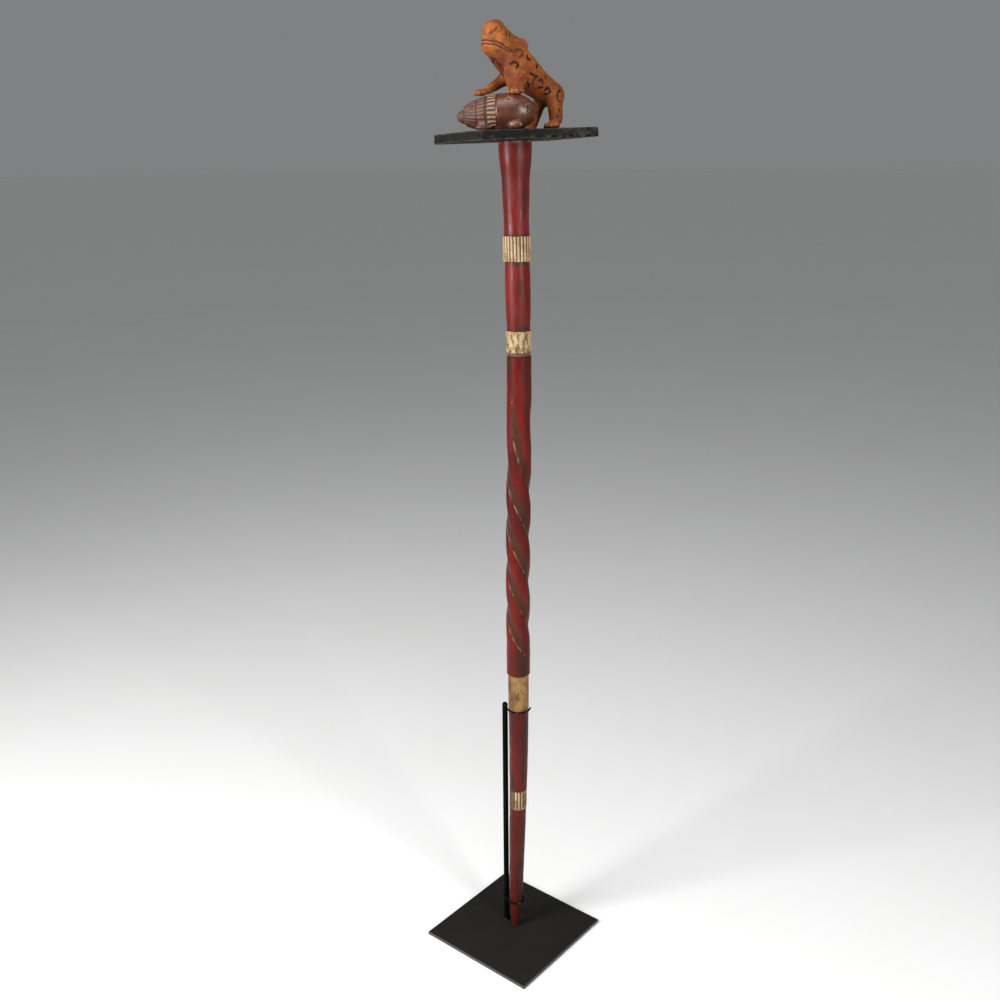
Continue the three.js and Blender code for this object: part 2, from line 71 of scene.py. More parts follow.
# Middle shaft
MIDDLE_LENGTH = 544.5
MIDDLE_DIAMETERS = [39.6, 40.2, 40.2, 40.4, 39.8, 39.4, 38.4]
TWIST_GROOVES = 3
TWIST_LEAD = 237
TWIST_START = 40
PLAIN_TOP_LENGTH = 66
TWIST_EASE = 150
TWIST_FADE = 45
TWIST_BEARING = 141
GROOVE_DEPTH = 3.2
GROOVE_SHARE = 0.42

# Upper shaft
NECK_LENGTH = 3.5
NECK_DIAMETER = 35.4
PLAIN_BAND_LENGTH = 35
PLAIN_BAND_DIAMETERS = [39.2, 38.6, 40.4]
BARREL_LENGTH = 105
BARREL_DIAMETERS = [35.6, 38, 38.8, 38.8, 37.2]
HIGH_BAND_LENGTH = 37
HIGH_BAND_DIAMETER = 43
HIGH_BAND_FLUTES = 24
HEAD_LENGTH = 136
HEAD_DIAMETERS = [38.8, 38.2, 40.4, 41.8, 47.6, 49.6]
FLUTE_DEPTH = 1.5

# Stains on the paint: low and high, degrees from the front, half width in degrees
FRONT_BEARING = 219
LOWER_STAINS = [
    (10, 80, 20, 30), (70, 190, 10, 14), (120, 252, 48, 16), (60, 250, -66, 14),
    (300, 415, 30, 15), (295, 330, -40, 20), (400, 450, 60, 20),
]
MIDDLE_STAINS = [(512, 560, 25, 20), (520, 590, 0, 9), (1030, 1062, -50, 18)]
UPPER_STAINS = [
    (1150, 1180, 10, 12), (1196, 1206, 0, 70), (1234, 1246, 0, 80), (1262, 1320, 40, 12),
    (1100, 1108, 20, 60), (1300, 1350, -60, 14),
]

# Board and figures
BOARD_LENGTH = 220
BOARD_WIDTH = 120
BOARD_THICKNESS = 14
BOARD_BEARING = -12.2
BOARD_RISE = 1.7
BOARD_LEAN = -2
BOARD_SHIFT = 3.7
CHIP_COUNT = 6
CHIP_SIZE = 3.6
PREY_PLACE = (-31, 6)
PREY_BEARING = -46
PREY_AXIS_HEIGHT = 24.5
PREY_RIDGES = 26
PREY_RINGS = (-28, -14.8, -12.7, 2.2)

FOOT_Z = BASE_THICKNESS + GAP
RING_SEAT_Z = FOOT_Z + TIP_LENGTH
LOW_BAND_Z = RING_SEAT_Z + FOOT_TAPER_LENGTH
KNEE_Z = LOW_BAND_Z + LOW_BAND_LENGTH
BARE_BAND_Z = KNEE_Z + KNEE_LENGTH
MIDDLE_Z = BARE_BAND_Z + BARE_BAND_LENGTH + GAP
MIDDLE_TOP_Z = MIDDLE_Z + MIDDLE_LENGTH
UPPER_Z = MIDDLE_TOP_Z + GAP
PLAIN_BAND_Z = UPPER_Z + NECK_LENGTH
BARREL_Z = PLAIN_BAND_Z + PLAIN_BAND_LENGTH
HIGH_BAND_Z = BARREL_Z + BARREL_LENGTH
HEAD_Z = HIGH_BAND_Z + HIGH_BAND_LENGTH
BOARD_Z = HEAD_Z + HEAD_LENGTH + GAP

# Camera: its place, its way of looking and its picture
CAMERA_PLACE = Vector((-1301.1, -1056.7, 1344.1))
CAMERA_FORWARD = Vector((0.7349, 0.6104, -0.29555))
CAMERA_ROLL = -0.0092975
FOCAL_PIXELS = 1084.76
PICTURE_MIDDLE = 500
SENSOR_WIDTH = 36
CAMERA_BEARING = 219.7

# Factors that flatten a figure to its side view, and that mirror it to its far side
SIDE_VIEW = np.array([1, 0, 1])
MIRROR = np.array([1, -1, 1])

# The floor's side, in metres
FLOOR_SIZE = 400

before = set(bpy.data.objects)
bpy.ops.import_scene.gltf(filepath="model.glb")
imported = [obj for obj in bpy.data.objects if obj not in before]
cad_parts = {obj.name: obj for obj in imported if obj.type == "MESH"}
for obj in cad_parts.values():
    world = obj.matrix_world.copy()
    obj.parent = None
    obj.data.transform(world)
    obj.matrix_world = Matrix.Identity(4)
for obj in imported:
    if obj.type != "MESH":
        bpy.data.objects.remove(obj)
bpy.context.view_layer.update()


# Small mathematics

def direction(bearing):
    angle = math.radians(bearing)
    return np.array([math.cos(angle), math.sin(angle), 0.0])


def along(values, shares):
    """Smooth values between evenly spaced ones, at shares from 0 to 1."""
    values = np.asarray(values, float)
    last = len(values) - 1
    place = np.clip(np.asarray(shares, float), 0, 1) * last
    index = np.minimum(place.astype(int), last - 1)
    rest = place - index
    if values.ndim > 1:
        rest = rest[..., None]
    before = values[np.maximum(index - 1, 0)]
    start = values[index]
    end = values[index + 1]
    after = values[np.minimum(index + 2, last)]
    leaving = (end - before) / 2
    arriving = (after - start) / 2
    cubic = (2 * start - 2 * end + leaving + arriving) * rest**3
    square = (-3 * start + 3 * end - 2 * leaving - arriving) * rest**2
    return cubic + square + leaving * rest + start


def smoothstep(value, low, high):
    share = np.clip((value - low) / (high - low), 0, 1)
    return share * share * (3 - 2 * share)


def shaft_centre(height):
    share = (np.asarray(height, float) - FOOT_Z) / (BOARD_Z - FOOT_Z)
    shift = along(BOW_SHIFTS, share)
    return np.array([STAFF_X, STAFF_Y, 0.0]) + np.multiply.outer(shift, direction(BOW_BEARING))


def ripple(points, size, seed):
    """A smooth uneven value from -1 to 1 over points, with waves of about the given size."""
    random = np.random.default_rng(seed)
    total = np.zeros(len(points))
    for _ in range(7):
        heading = random.normal(size=3)
        heading /= np.linalg.norm(heading)
        wave = size * random.uniform(0.7, 1.6)
        total += np.sin(points @ heading * 2 * math.pi / wave + random.uniform(0, 2 * math.pi))
    return total / 4


# Mesh helpers

def deselect():
    bpy.ops.object.select_all(action="DESELECT")


def choose(*pieces):
    deselect()
    for piece in pieces:
        piece.select_set(True)
    bpy.context.view_layer.objects.active = pieces[0]


def points_of(piece):
    found = np.empty(len(piece.data.vertices) * 3)
    piece.data.vertices.foreach_get("co", found)
    return found.reshape(-1, 3) / MM


def normals_of(piece):
    found = np.empty(len(piece.data.vertices) * 3)
    piece.data.vertex_normals.foreach_get("vector", found)
    return found.reshape(-1, 3)


def set_points(piece, points):
    piece.data.vertices.foreach_set("co", (np.asarray(points) * MM).ravel())
    piece.data.update()


def mark(piece, name, values):
    """Keeps one value for each point, which the materials read."""
    layer = piece.data.attributes.new(name, "FLOAT", "POINT")
    layer.data.foreach_set("value", np.clip(values, 0, 1).astype(np.float32))


def modify(piece, kind, **settings):
    choose(piece)
    bpy.ops.object.modifier_add(type=kind)
    modifier = piece.modifiers[-1]
    for name, value in settings.items():
        setattr(modifier, name, value)
    bpy.ops.object.modifier_apply(modifier=modifier.name)


def outward(piece):
    """Turns every face's front side out."""
    choose(piece)
    bpy.ops.object.mode_set(mode="EDIT")
    bpy.ops.mesh.select_all(action="SELECT")
    bpy.ops.mesh.normals_make_consistent(inside=False)
    bpy.ops.object.mode_set(mode="OBJECT")


def merged(pieces, name):
    choose(*pieces)
    if len(pieces) > 1:
        bpy.ops.object.join()
    whole = bpy.context.object
    bpy.ops.object.transform_apply(location=True, rotation=True, scale=True)
    whole.name = name
    return whole


def finish_piece(piece, node, materials):
    for material in materials:
        piece.data.materials.append(material)
    choose(piece)
    bpy.ops.object.shade_smooth_by_angle(angle=math.radians(38))
    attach(piece, "root")
    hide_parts(node)


# Materials

def colour(text):
    """The linear colour of a painter's hex value."""
    shares = [int(text[place:place + 2], 16) / 255 for place in (1, 3, 5)]
    linear = [s / 12.92 if s <= 0.04045 else ((s + 0.055) / 1.055) ** 2.4 for s in shares]
    return (*linear, 1)


class Finish:
    """A node material under construction."""

    def __init__(self, name):
        self.material = bpy.data.materials.new(name)
        self.material.use_nodes = True
        self.tree = self.material.node_tree
        self.shader = self.tree.nodes["Principled BSDF"]
        self.place = self.node("ShaderNodeTexCoord").outputs["Object"]

    def node(self, kind, inputs=None, **settings):
        made = self.tree.nodes.new(kind)
        for name, value in settings.items():
            setattr(made, name, value)
        for name, value in (inputs or {}).items():
            self.feed(made.inputs[name], value)
        return made

    def feed(self, socket, value):
        if isinstance(value, bpy.types.NodeSocket):
            self.tree.links.new(value, socket)
        else:
            socket.default_value = value

    def noise(self, scale, detail=4, stretch=(1, 1, 1), roughness=0.55):
        inputs = {"Scale": scale, "Detail": detail, "Roughness": roughness}
        placed = self.node("ShaderNodeMapping", {"Vector": self.place, "Scale": stretch})
        inputs["Vector"] = placed.outputs["Vector"]
        return self.node("ShaderNodeTexNoise", inputs).outputs["Fac"]

    def attribute(self, name):
        return self.node("ShaderNodeAttribute", attribute_name=name).outputs["Fac"]

    def between(self, value, low, high):
        inputs = {"Value": value, "From Min": low, "From Max": high}
        return self.node("ShaderNodeMapRange", inputs, interpolation_type="SMOOTHSTEP").outputs["Result"]

    def maths(self, operation, first, second):
        made = self.node("ShaderNodeMath", operation=operation)
        self.feed(made.inputs[0], first)
        self.feed(made.inputs[1], second)
        return made.outputs[0]

    def mix(self, share, first, second):
        made = self.node("ShaderNodeMix", data_type="RGBA")
        self.feed(made.inputs[0], share)
        self.feed(made.inputs[6], first)
        self.feed(made.inputs[7], second)
        return made.outputs[2]

    def over(self, base, paint, share, strength=1):
        """The base with a paint laid over it where share is 1, as strongly as given."""
        return self.mix(self.maths("MULTIPLY", share, strength), base, colour(paint))

    def ragged(self, name, uneven, weight, low, high):
        """A mark that the piece keeps, its edge broken up by an uneven value."""
        whole = self.maths("ADD", self.attribute(name), self.maths("MULTIPLY", uneven, weight))
        return self.between(whole, low, high)

    def bump(self, value, strength, distance=0.5 * MM):
        inputs = {"Height": value, "Strength": strength, "Distance": distance}
        normal = self.node("ShaderNodeBump", inputs).outputs["Normal"]
        self.tree.links.new(normal, self.shader.inputs["Normal"])

    def wear(self, base, gloss, shine):
        """The finished material, from its colour, its roughness and how strongly it shines."""
        self.feed(self.shader.inputs["Base Color"], base)
        self.feed(self.shader.inputs["Roughness"], gloss)
        self.shader.inputs["Specular IOR Level"].default_value = shine
        return self.material


def red_paint(name, bright="#781a15", deep="#53120f", streak_from=0.52, shine=0.28):
    """Red gloss paint, darkened in long streaks, scratched and dusty in places, and pale along marked edges
    as a painted highlight.
    """
    coat = Finish(name)
    clouds = coat.noise(11, 6, (1, 1, 0.4), 0.6)
    base = coat.mix(coat.between(clouds, 0.4, 0.62), colour(bright), colour(deep))
    streaks = coat.noise(30, 6, (1.6, 1.6, 0.11), 0.66)
    base = coat.over(base, "#3a1f17", coat.between(streaks, streak_from, 0.68), 0.75)
    mottle = coat.noise(130, 6, (1, 1, 0.5), 0.7)
    base = coat.over(base, "#3f1510", coat.between(mottle, 0.5, 0.68), 0.45)
    brown = coat.ragged("groove", coat.noise(85, 6, (1, 1, 0.35), 0.75), 1.7, 0.9, 1.55)
    base = coat.over(base, "#3f271a", brown, 0.9)
    olive = coat.ragged("stain", coat.noise(90, 6, (1, 1, 0.3), 0.75), 2.2, 1.45, 2.05)
    base = coat.over(base, "#2c2117", olive, 0.8)
    # Dusty pale colour where the edge mark lies: dust, and a painted highlight on groove edges and on the
    # lower shaft's rim.
    dust = coat.noise(120, 6, (1, 1, 0.25), 0.72)
    base = coat.over(base, "#82644c", coat.attribute("edge"), coat.between(dust, 0.46, 0.6))
    specks = coat.noise(190, 5, (1, 1, 0.5), 0.72)
    base = coat.over(base, "#86634c", coat.between(specks, 0.62, 0.7), 0.4)
    base = coat.over(base, "#a08466", coat.attribute("worn"))
    gloss = coat.between(coat.noise(60, 6, (1, 1, 0.4), 0.65), -0.15, 1.35)
    coat.bump(coat.noise(150, 6, (1, 1, 0.25), 0.65), 0.4)
    return coat.wear(base, gloss, shine)


def ivory_paint():
    """Pale paint, flaked in upright patches down to brown wood."""
    coat = Finish("worn_ivory_paint")
    base = coat.mix(coat.between(coat.noise(45, 6), 0.38, 0.62), colour("#b9a17f"), colour("#9f8560"))
    flaked = coat.noise(120, 7, (1, 1, 0.5), 0.75)
    base = coat.over(base, "#523a20", coat.between(flaked, 0.5, 0.54), coat.attribute("flaky"))
    bitten = coat.ragged("groove", coat.noise(140, 6, (1, 1, 0.3), 0.7), 0.5, 0.62, 0.9)
    base = coat.over(base, "#4a3020", bitten, 0.95)
    # Brown where the worn mark lies: the joint rims, and the sides of the low band.
    browned = coat.ragged("worn", coat.noise(95, 6, (1, 1, 0.5), 0.7), 0.8, 0.7, 1.05)
    base = coat.over(base, "#5f4330", browned, 0.9)
    gloss = coat.between(coat.noise(50), -0.9, 1.3)
    coat.bump(coat.noise(230, 6, (1, 1, 0.6), 0.7), 0.5)
    return coat.wear(base, gloss, 0.25)


def bare_wood():
    """Bare tan wood with brown mottling and upright grain."""
    coat = Finish("bare_mottled_wood")
    clouds = coat.noise(34, 6, (1, 1, 0.5), 0.68)
    base = coat.mix(coat.between(clouds, 0.4, 0.6), colour("#957345"), colour("#6d4e2f"))
    grain = coat.noise(60, 6, (2.4, 2.4, 0.12))
    base = coat.over(base, "#6d4d31", coat.between(grain, 0.5, 0.7), 0.5)
    spots = coat.noise(95, 6, (1, 1, 0.6), 0.72)
    base = coat.over(base, "#4b2f1a", coat.between(spots, 0.52, 0.6), 0.8)
    gloss = coat.between(coat.noise(40), -0.8, 1.4)
    coat.bump(grain, 0.35)
    return coat.wear(base, gloss, 0.2)


def black_steel():
    """Satin black paint on steel, rubbed a little grey."""
    coat = Finish("satin_black_steel")
    base = coat.mix(coat.between(coat.noise(14, 5), 0.35, 0.7), colour("#080808"), colour("#0d0d0c"))
    rubbed = coat.noise(120, 6, roughness=0.7)
    base = coat.over(base, "#33312e", coat.between(rubbed, 0.6, 0.75), 0.3)
    base = coat.over(base, "#6b6863", coat.attribute("worn"), 0.6)
    gloss = coat.between(coat.noise(90, 5), -0.9, 1.35)
    coat.bump(coat.noise(600, 3), 0.12, 0.2 * MM)
    return coat.wear(base, gloss, 0.04)


def black_board():
    """Black paint on a hewn board, grey where worn, lighter at its right end as painted light, and near
    black in the chips for bare wood and painted shade.
    """
    coat = Finish("black_painted_board")
    clouds = coat.noise(16, 6, (0.4, 1, 1))
    base = coat.mix(coat.between(clouds, 0.36, 0.66), colour("#11110f"), colour("#191816"))
    streaks = coat.noise(50, 6, (0.12, 1, 1.4), 0.65)
    base = coat.over(base, "#26231f", coat.between(streaks, 0.5, 0.7), 0.6)
    rough = coat.noise(130, 6, roughness=0.7)
    # Grey where worn, and towards the right end as painted light.
    base = coat.over(base, "#6a6258", coat.attribute("worn"), coat.between(rough, 0.34, 0.64))
    # Near black in the chips: bare wood and painted shade in the notches.
    base = coat.over(base, "#0a0806", coat.attribute("chip"))
    gloss = coat.between(coat.noise(60, 5), -0.9, 1.3)
    coat.bump(streaks, 0.4)
    return coat.wear(base, gloss, 0.12)


def leopard_varnish():
    """Orange-tan varnished wood with black marks and pale hair strokes; paler edges are worn paint and
    painted highlight, the dark underside, chest and hollows painted shade.
    """
    coat = Finish("tan_leopard_varnish")
    clouds = coat.noise(34, 6, roughness=0.62)
    base = coat.mix(coat.between(clouds, 0.4, 0.6), colour("#98561f"), colour("#7a3f15"))
    grain = coat.noise(90, 6, (0.35, 1.6, 1.6), 0.68)
    base = coat.over(base, "#5c2e12", coat.between(grain, 0.45, 0.6), 0.6)
    base = coat.over(base, "#7c3020", coat.attribute("red"), 0.7)
    base = coat.over(base, "#32150c", coat.attribute("shade"), 0.85)
    base = coat.over(base, "#a98260", coat.attribute("pale"), 0.55)
    base = coat.over(base, "#40190d", coat.attribute("line"), 0.9)
    broken = coat.noise(240, 5, roughness=0.65)
    base = coat.over(base, "#1a0f07", coat.attribute("black"), coat.between(broken, 0.28, 0.42))
    gloss = coat.between(coat.noise(80, 6, roughness=0.65), -0.7, 1.4)
    coat.bump(coat.noise(230, 6, roughness=0.65), 0.35, 0.4 * MM)
    return coat.wear(base, gloss, 0.22)


def prey_varnish():
    """Purple-brown gloss with pale quills, dark cuts, rubbed lower edges and painted shade in hollows,
    between the quills and along the bottom.
    """
    coat = Finish("purple_brown_varnish")
    clouds = coat.noise(24, 6, roughness=0.6)
    base = coat.mix(coat.between(clouds, 0.4, 0.6), colour("#5a3122"), colour("#45251b"))
    bloom = coat.noise(75, 6, roughness=0.68)
    base = coat.over(base, "#664538", coat.between(bloom, 0.48, 0.66), 0.4)
    base = coat.over(base, "#26140f", coat.attribute("shade"), 0.8)
    flaked = coat.between(coat.noise(260, 5, roughness=0.7), 0.3, 0.5)
    base = coat.over(base, "#96785b", coat.attribute("pale"), flaked)
    base = coat.over(base, "#6c5c4e", coat.attribute("worn"), flaked)
    base = coat.over(base, "#1c100c", coat.attribute("black"), 0.9)
    sheen = coat.between(coat.noise(70, 5), -0.2, 1.8)
    gloss = coat.maths("ADD", sheen, coat.maths("MULTIPLY", coat.attribute("dull"), 0.35))
    coat.bump(coat.noise(210, 6, roughness=0.65), 0.2, 0.4 * MM)
    return coat.wear(base, gloss, 0.45)


# Turned and twisted shafts

def section(bottom, length, diameters, edge=0.7, step=2.2):
    """Heights and radii of one turned section, its two edges softened."""
    count = max(2, round((length - 2 * edge) / step))
    heights = np.linspace(bottom + edge, bottom + length - edge, count + 1)
    radii = along(diameters, (heights - bottom) / length) / 2
    first = diameters[0] / 2
    last = diameters[-1] / 2
    top = bottom + length
    low_heights = [bottom, bottom + 0.12 * edge, bottom + 0.45 * edge]
    low_radii = [first - edge, first - 0.45 * edge, first - 0.12 * edge]
    high_heights = [top - 0.45 * edge, top - 0.12 * edge, top]
    high_radii = [last - 0.12 * edge, last - 0.45 * edge, last - edge]
    return (
        np.concatenate([low_heights, heights, high_heights]),
        np.concatenate([low_radii, radii, high_radii]),
    )


def turned_blank(name, sections, sides):
    """A cylinder primitive cut into rings that follow the sections.
    Returns it with each point's angle, height and radius."""
    heights = np.concatenate([part[0] for part in sections])
    radii = np.concatenate([part[1] for part in sections])
    deselect()
    bpy.ops.mesh.primitive_cylinder_add(vertices=sides, radius=MM, depth=MM, end_fill_type="NGON")
    piece = bpy.context.object
    piece.name = name
    bpy.ops.object.mode_set(mode="EDIT")
    mesh = bmesh.from_edit_mesh(piece.data)
    bpy.ops.mesh.select_all(action="DESELECT")
    for edge in mesh.edges:
        first, second = edge.verts
        edge.select = abs(first.co.z - second.co.z) > MM / 2
    bmesh.update_edit_mesh(piece.data)
    bpy.ops.mesh.subdivide(number_cuts=len(heights) - 2)
    bpy.ops.object.mode_set(mode="OBJECT")
    points = points_of(piece)
    ring = np.round((points[:, 2] + 0.5) * (len(heights) - 1)).astype(int)
    angles = np.arctan2(points[:, 1], points[:, 0])
    return piece, angles, heights[ring], radii[ring]


def place_round(piece, angles, heights, radii):
    centres = shaft_centre(heights)
    points = np.stack([
        centres[:, 0] + radii * np.cos(angles),
        centres[:, 1] + radii * np.sin(angles),
        heights,
    ], axis=1)
    set_points(piece, points)
    return points


def round_points(angles, heights, radius=18):
    return np.stack([radius * np.cos(angles), radius * np.sin(angles), heights], axis=1)


def hand_cut(angles, heights, amount, seed):
    """The slight unevenness of a shaft that was cut with a knife."""
    around = round_points(angles, heights)
    longwise = around * np.array([1, 1, 0.3])
    return amount * (0.6 * ripple(longwise, 15, seed) + 0.4 * ripple(longwise, 6, seed + 1))


def flutes(angles, heights, bottom, length, count):
    """Groove depth from 0 to 1 of a band of upright ribs, and 0 outside it."""
    wave = 1 - np.abs(np.cos(angles * count / 2))
    inside = smoothstep(heights, bottom - 0.2, bottom + 0.4)
    inside *= 1 - smoothstep(heights, bottom + length - 0.4, bottom + length + 0.2)
    return wave * inside


def stained(points, stains):
    """How dark each point is from the stains, which are soft at their ends and sides."""
    dark = np.zeros(len(points))
    centres = shaft_centre(points[:, 2])
    bearing = np.degrees(np.arctan2(points[:, 1] - centres[:, 1], points[:, 0] - centres[:, 0]))
    for low, high, turn, half_width in stains:
        beside = np.abs((bearing - FRONT_BEARING - turn + 180) % 360 - 180)
        soft = 0.25 * (high - low)
        inside = smoothstep(points[:, 2], low - soft, low + soft)
        inside *= 1 - smoothstep(points[:, 2], high - soft, high + soft)
        dark = np.maximum(dark, inside * (1 - smoothstep(beside, 0, half_width * 1.9)))
    return dark


def paint_bands(piece, bands):
    """Gives faces the material number of the height band that they lie in."""
    heights = np.empty(len(piece.data.polygons) * 3)
    piece.data.polygons.foreach_get("center", heights)
    heights = heights.reshape(-1, 3)[:, 2] / MM
    numbers = np.zeros(len(heights), int)
    for bottom, top, number in bands:
        numbers[(heights > bottom) & (heights < top)] = number
    piece.data.polygons.foreach_set("material_index", numbers)


def lower_shaft(materials):
    sections = [
        section(FOOT_Z, TIP_LENGTH, TIP_DIAMETERS, 1.2),
        section(RING_SEAT_Z, FOOT_TAPER_LENGTH, FOOT_TAPER_DIAMETERS, 1),
        section(LOW_BAND_Z, LOW_BAND_LENGTH, [LOW_BAND_DIAMETER] * 3, 0.8, 1.5),
        section(KNEE_Z, KNEE_LENGTH, KNEE_DIAMETERS, 0.8),
        section(BARE_BAND_Z, BARE_BAND_LENGTH, BARE_BAND_DIAMETERS, 0.5),
    ]
    piece, angles, heights, radii = turned_blank("staff_lower_shaft", sections, 128)
    groove = flutes(angles, heights, LOW_BAND_Z, LOW_BAND_LENGTH, LOW_BAND_FLUTES)
    radii = radii - FLUTE_DEPTH * groove + hand_cut(angles, heights, 0.22, 11)
    points = place_round(piece, angles, heights, radii)
    # In the low band the ivory turns brown except on the side that faces the camera, with a broken edge,
    # and is a little brown all round.
    facing = np.cos(angles - math.radians(FRONT_BEARING))
    rubbed = 1 - smoothstep(facing, 0.82, 0.95)
    rubbed *= smoothstep(ripple(points * np.array([1, 1, 0.6]), 24, 5) - facing, -1.6, -0.2)
    in_band = (heights > LOW_BAND_Z) & (heights < KNEE_Z)
    mark(piece, "groove", groove)
    mark(piece, "worn", np.where(in_band, np.maximum(rubbed, 0.24), 0))
    mark(piece, "flaky", 0.7 * in_band)
    mark(piece, "stain", stained(points, LOWER_STAINS))
    # A pale strip down the shaft's left side as the camera sees it, a painted rim highlight.
    mark(piece, "edge", 0.5 * smoothstep(np.cos(angles - math.radians(FRONT_BEARING - 84)), 0.8, 1))
    paint_bands(piece, [(LOW_BAND_Z, KNEE_Z, 1), (BARE_BAND_Z, MIDDLE_Z, 2)])
    finish_piece(piece, "lower_shaft", materials)


def twist_turn(height):
    ease_start = MIDDLE_LENGTH - PLAIN_TOP_LENGTH - TWIST_EASE
    steady = np.clip(height, TWIST_START, ease_start) - TWIST_START
    easing = np.clip((height - ease_start) / TWIST_EASE, 0, 1)
    eased = TWIST_EASE * (easing - easing**2 / 2)
    return -2 * math.pi * (steady + eased) / TWIST_LEAD


def groove_share(height):
    twist_end = MIDDLE_LENGTH - PLAIN_TOP_LENGTH
    rising = smoothstep(height, TWIST_START, TWIST_START + TWIST_FADE)
    falling = 1 - smoothstep(height, twist_end - TWIST_FADE, twist_end)
    return rising * falling


def groove_shape(angle):
    turns = angle * TWIST_GROOVES / (2 * math.pi)
    from_middle = np.abs(turns - np.round(turns)) * 2
    return 0.5 + 0.5 * np.cos(math.pi * np.minimum(from_middle / (2 * GROOVE_SHARE), 1))


def groove_paint(angles, height):
    """The brown in each groove, and the pale line along its left side, which is worn paint and a painted
    highlight.
    """
    turns = angles * TWIST_GROOVES / (2 * math.pi)
    across = (turns - np.round(turns)) / GROOVE_SHARE
    twist_end = MIDDLE_LENGTH - PLAIN_TOP_LENGTH
    width = smoothstep(twist_end + 8 - height, 0, 70)
    width *= smoothstep(height, TWIST_START - 20, TWIST_START + 40)
    present = (height < twist_end + 8) & (height > TWIST_START - 20)
    right = 1 - smoothstep(across, -0.3, 0.15 + 0.62 * width)
    left = smoothstep(across, -0.12 - 0.42 * width, -0.02 - 0.3 * width)
    line = 1 - smoothstep(np.abs(across + 0.12 + 0.35 * width), 0.02, 0.11)
    return np.where(present, right * left, 0), np.where(present, line, 0)


def middle_shaft(materials):
    sections = [section(MIDDLE_Z, MIDDLE_LENGTH, MIDDLE_DIAMETERS, 1.4, 1.8)]
    piece, angles, heights, radii = turned_blank("staff_middle_shaft", sections, 144)
    above = heights - MIDDLE_Z
    groove = groove_share(above) * groove_shape(angles)
    turned = angles + twist_turn(above) + math.radians(TWIST_BEARING)
    radii = radii - GROOVE_DEPTH * groove + hand_cut(turned, heights, 0.22, 21)
    points = place_round(piece, turned, heights, radii)
    brown, pale = groove_paint(angles, above)
    mark(piece, "groove", brown)
    # The pale line beside each groove goes into the edge mark, as worn paint and a painted highlight.
    mark(piece, "edge", pale)
    mark(piece, "worn", np.zeros(len(heights)))
    mark(piece, "stain", stained(points, MIDDLE_STAINS))
    finish_piece(piece, "middle_shaft", materials)


def upper_shaft(materials):
    sections = [
        section(UPPER_Z, NECK_LENGTH, [NECK_DIAMETER] * 3, 0.4, 1),
        section(PLAIN_BAND_Z, PLAIN_BAND_LENGTH, PLAIN_BAND_DIAMETERS, 0.9),
        section(BARREL_Z, BARREL_LENGTH, BARREL_DIAMETERS, 0.8),
        section(HIGH_BAND_Z, HIGH_BAND_LENGTH, [HIGH_BAND_DIAMETER] * 3, 1, 1.5),
        section(HEAD_Z, HEAD_LENGTH, HEAD_DIAMETERS, 0.6),
    ]
    piece, angles, heights, radii = turned_blank("staff_upper_shaft", sections, 144)
    groove = flutes(angles, heights, HIGH_BAND_Z, HIGH_BAND_LENGTH, HIGH_BAND_FLUTES)
    radii = radii - FLUTE_DEPTH * groove + hand_cut(angles, heights, 0.22, 31)
    points = place_round(piece, angles, heights, radii)
    local = apply(board_matrix().inverted(), points)
    near_top = smoothstep(heights, BOARD_Z - 30, BOARD_Z - 2)
    lift = (-GAP - local[:, 2]) - (BOARD_Z - GAP - heights)
    points[:, 2] += lift * near_top
    set_points(piece, points)
    rim = smoothstep(heights, BOARD_Z - 4, BOARD_Z - 2)
    rim *= smoothstep(ripple(points, 12, 8), -0.7, 0.2)
    in_band = (heights > PLAIN_BAND_Z) & (heights < BARREL_Z)
    patches = smoothstep(ripple(points * np.array([1, 1, 0.8]), 18, 9), 0.15, 0.75)
    seam = 1 - smoothstep(heights, PLAIN_BAND_Z + 1, PLAIN_BAND_Z + 5)
    mark(piece, "groove", groove)
    mark(piece, "worn", np.where(in_band, 0.7 * seam, np.maximum(0.5 * rim, heights <= PLAIN_BAND_Z)))
    mark(piece, "flaky", np.where(in_band, 0.8 + 0.2 * patches, 0.3))
    mark(piece, "stain", stained(points, UPPER_STAINS))
    mark(piece, "edge", np.zeros(len(heights)))
    paint_bands(piece, [(UPPER_Z - 1, BARREL_Z, 1), (HIGH_BAND_Z, HEAD_Z, 1)])
    finish_piece(piece, "upper_shaft", materials)


# Stand

def hook_and_rod():
    """Heights and centres that the stand's parts share."""
    hook_z = BARE_BAND_Z + HOOK_ABOVE_BARE_BAND
    shaft_radius = max(KNEE_DIAMETERS[-1], *BARE_BAND_DIAMETERS) / 2
    reach = shaft_radius + ROD_CLEARANCE + ROD_DIAMETER / 2
    rod = shaft_centre(hook_z) + reach * direction(ROD_BEARING)
    return hook_z, shaft_radius, rod


def stand_base(material):
    deselect()
    bpy.ops.mesh.primitive_cube_add(size=1, location=(0, 0, BASE_THICKNESS * MM / 2))
    piece = bpy.context.object
    piece.name = "stand_plate"
    bpy.ops.transform.resize(value=(BASE_SIDE * MM, BASE_SIDE * MM, BASE_THICKNESS * MM))
    bpy.ops.object.transform_apply(location=True, rotation=True, scale=True)
    bpy.ops.object.mode_set(mode="EDIT")
    mesh = bmesh.from_edit_mesh(piece.data)
    for edge in mesh.edges:
        level = abs(edge.verts[0].co.z - edge.verts[1].co.z) < MM / 10
        inside = all(abs(face.normal.z) > 0.9 for face in edge.link_faces)
        edge.select = level and not inside
    bmesh.update_edit_mesh(piece.data)
    bpy.ops.mesh.bevel(offset=BASE_EDGE * MM, segments=3)
    bpy.ops.object.mode_set(mode="OBJECT")
    points = points_of(piece)
    from_edge = BASE_SIDE / 2 - np.max(np.abs(points[:, :2]), axis=1)
    mark(piece, "worn", 1 - smoothstep(from_edge, 0.2, 1))
    finish_piece(piece, "stand_base", [material])


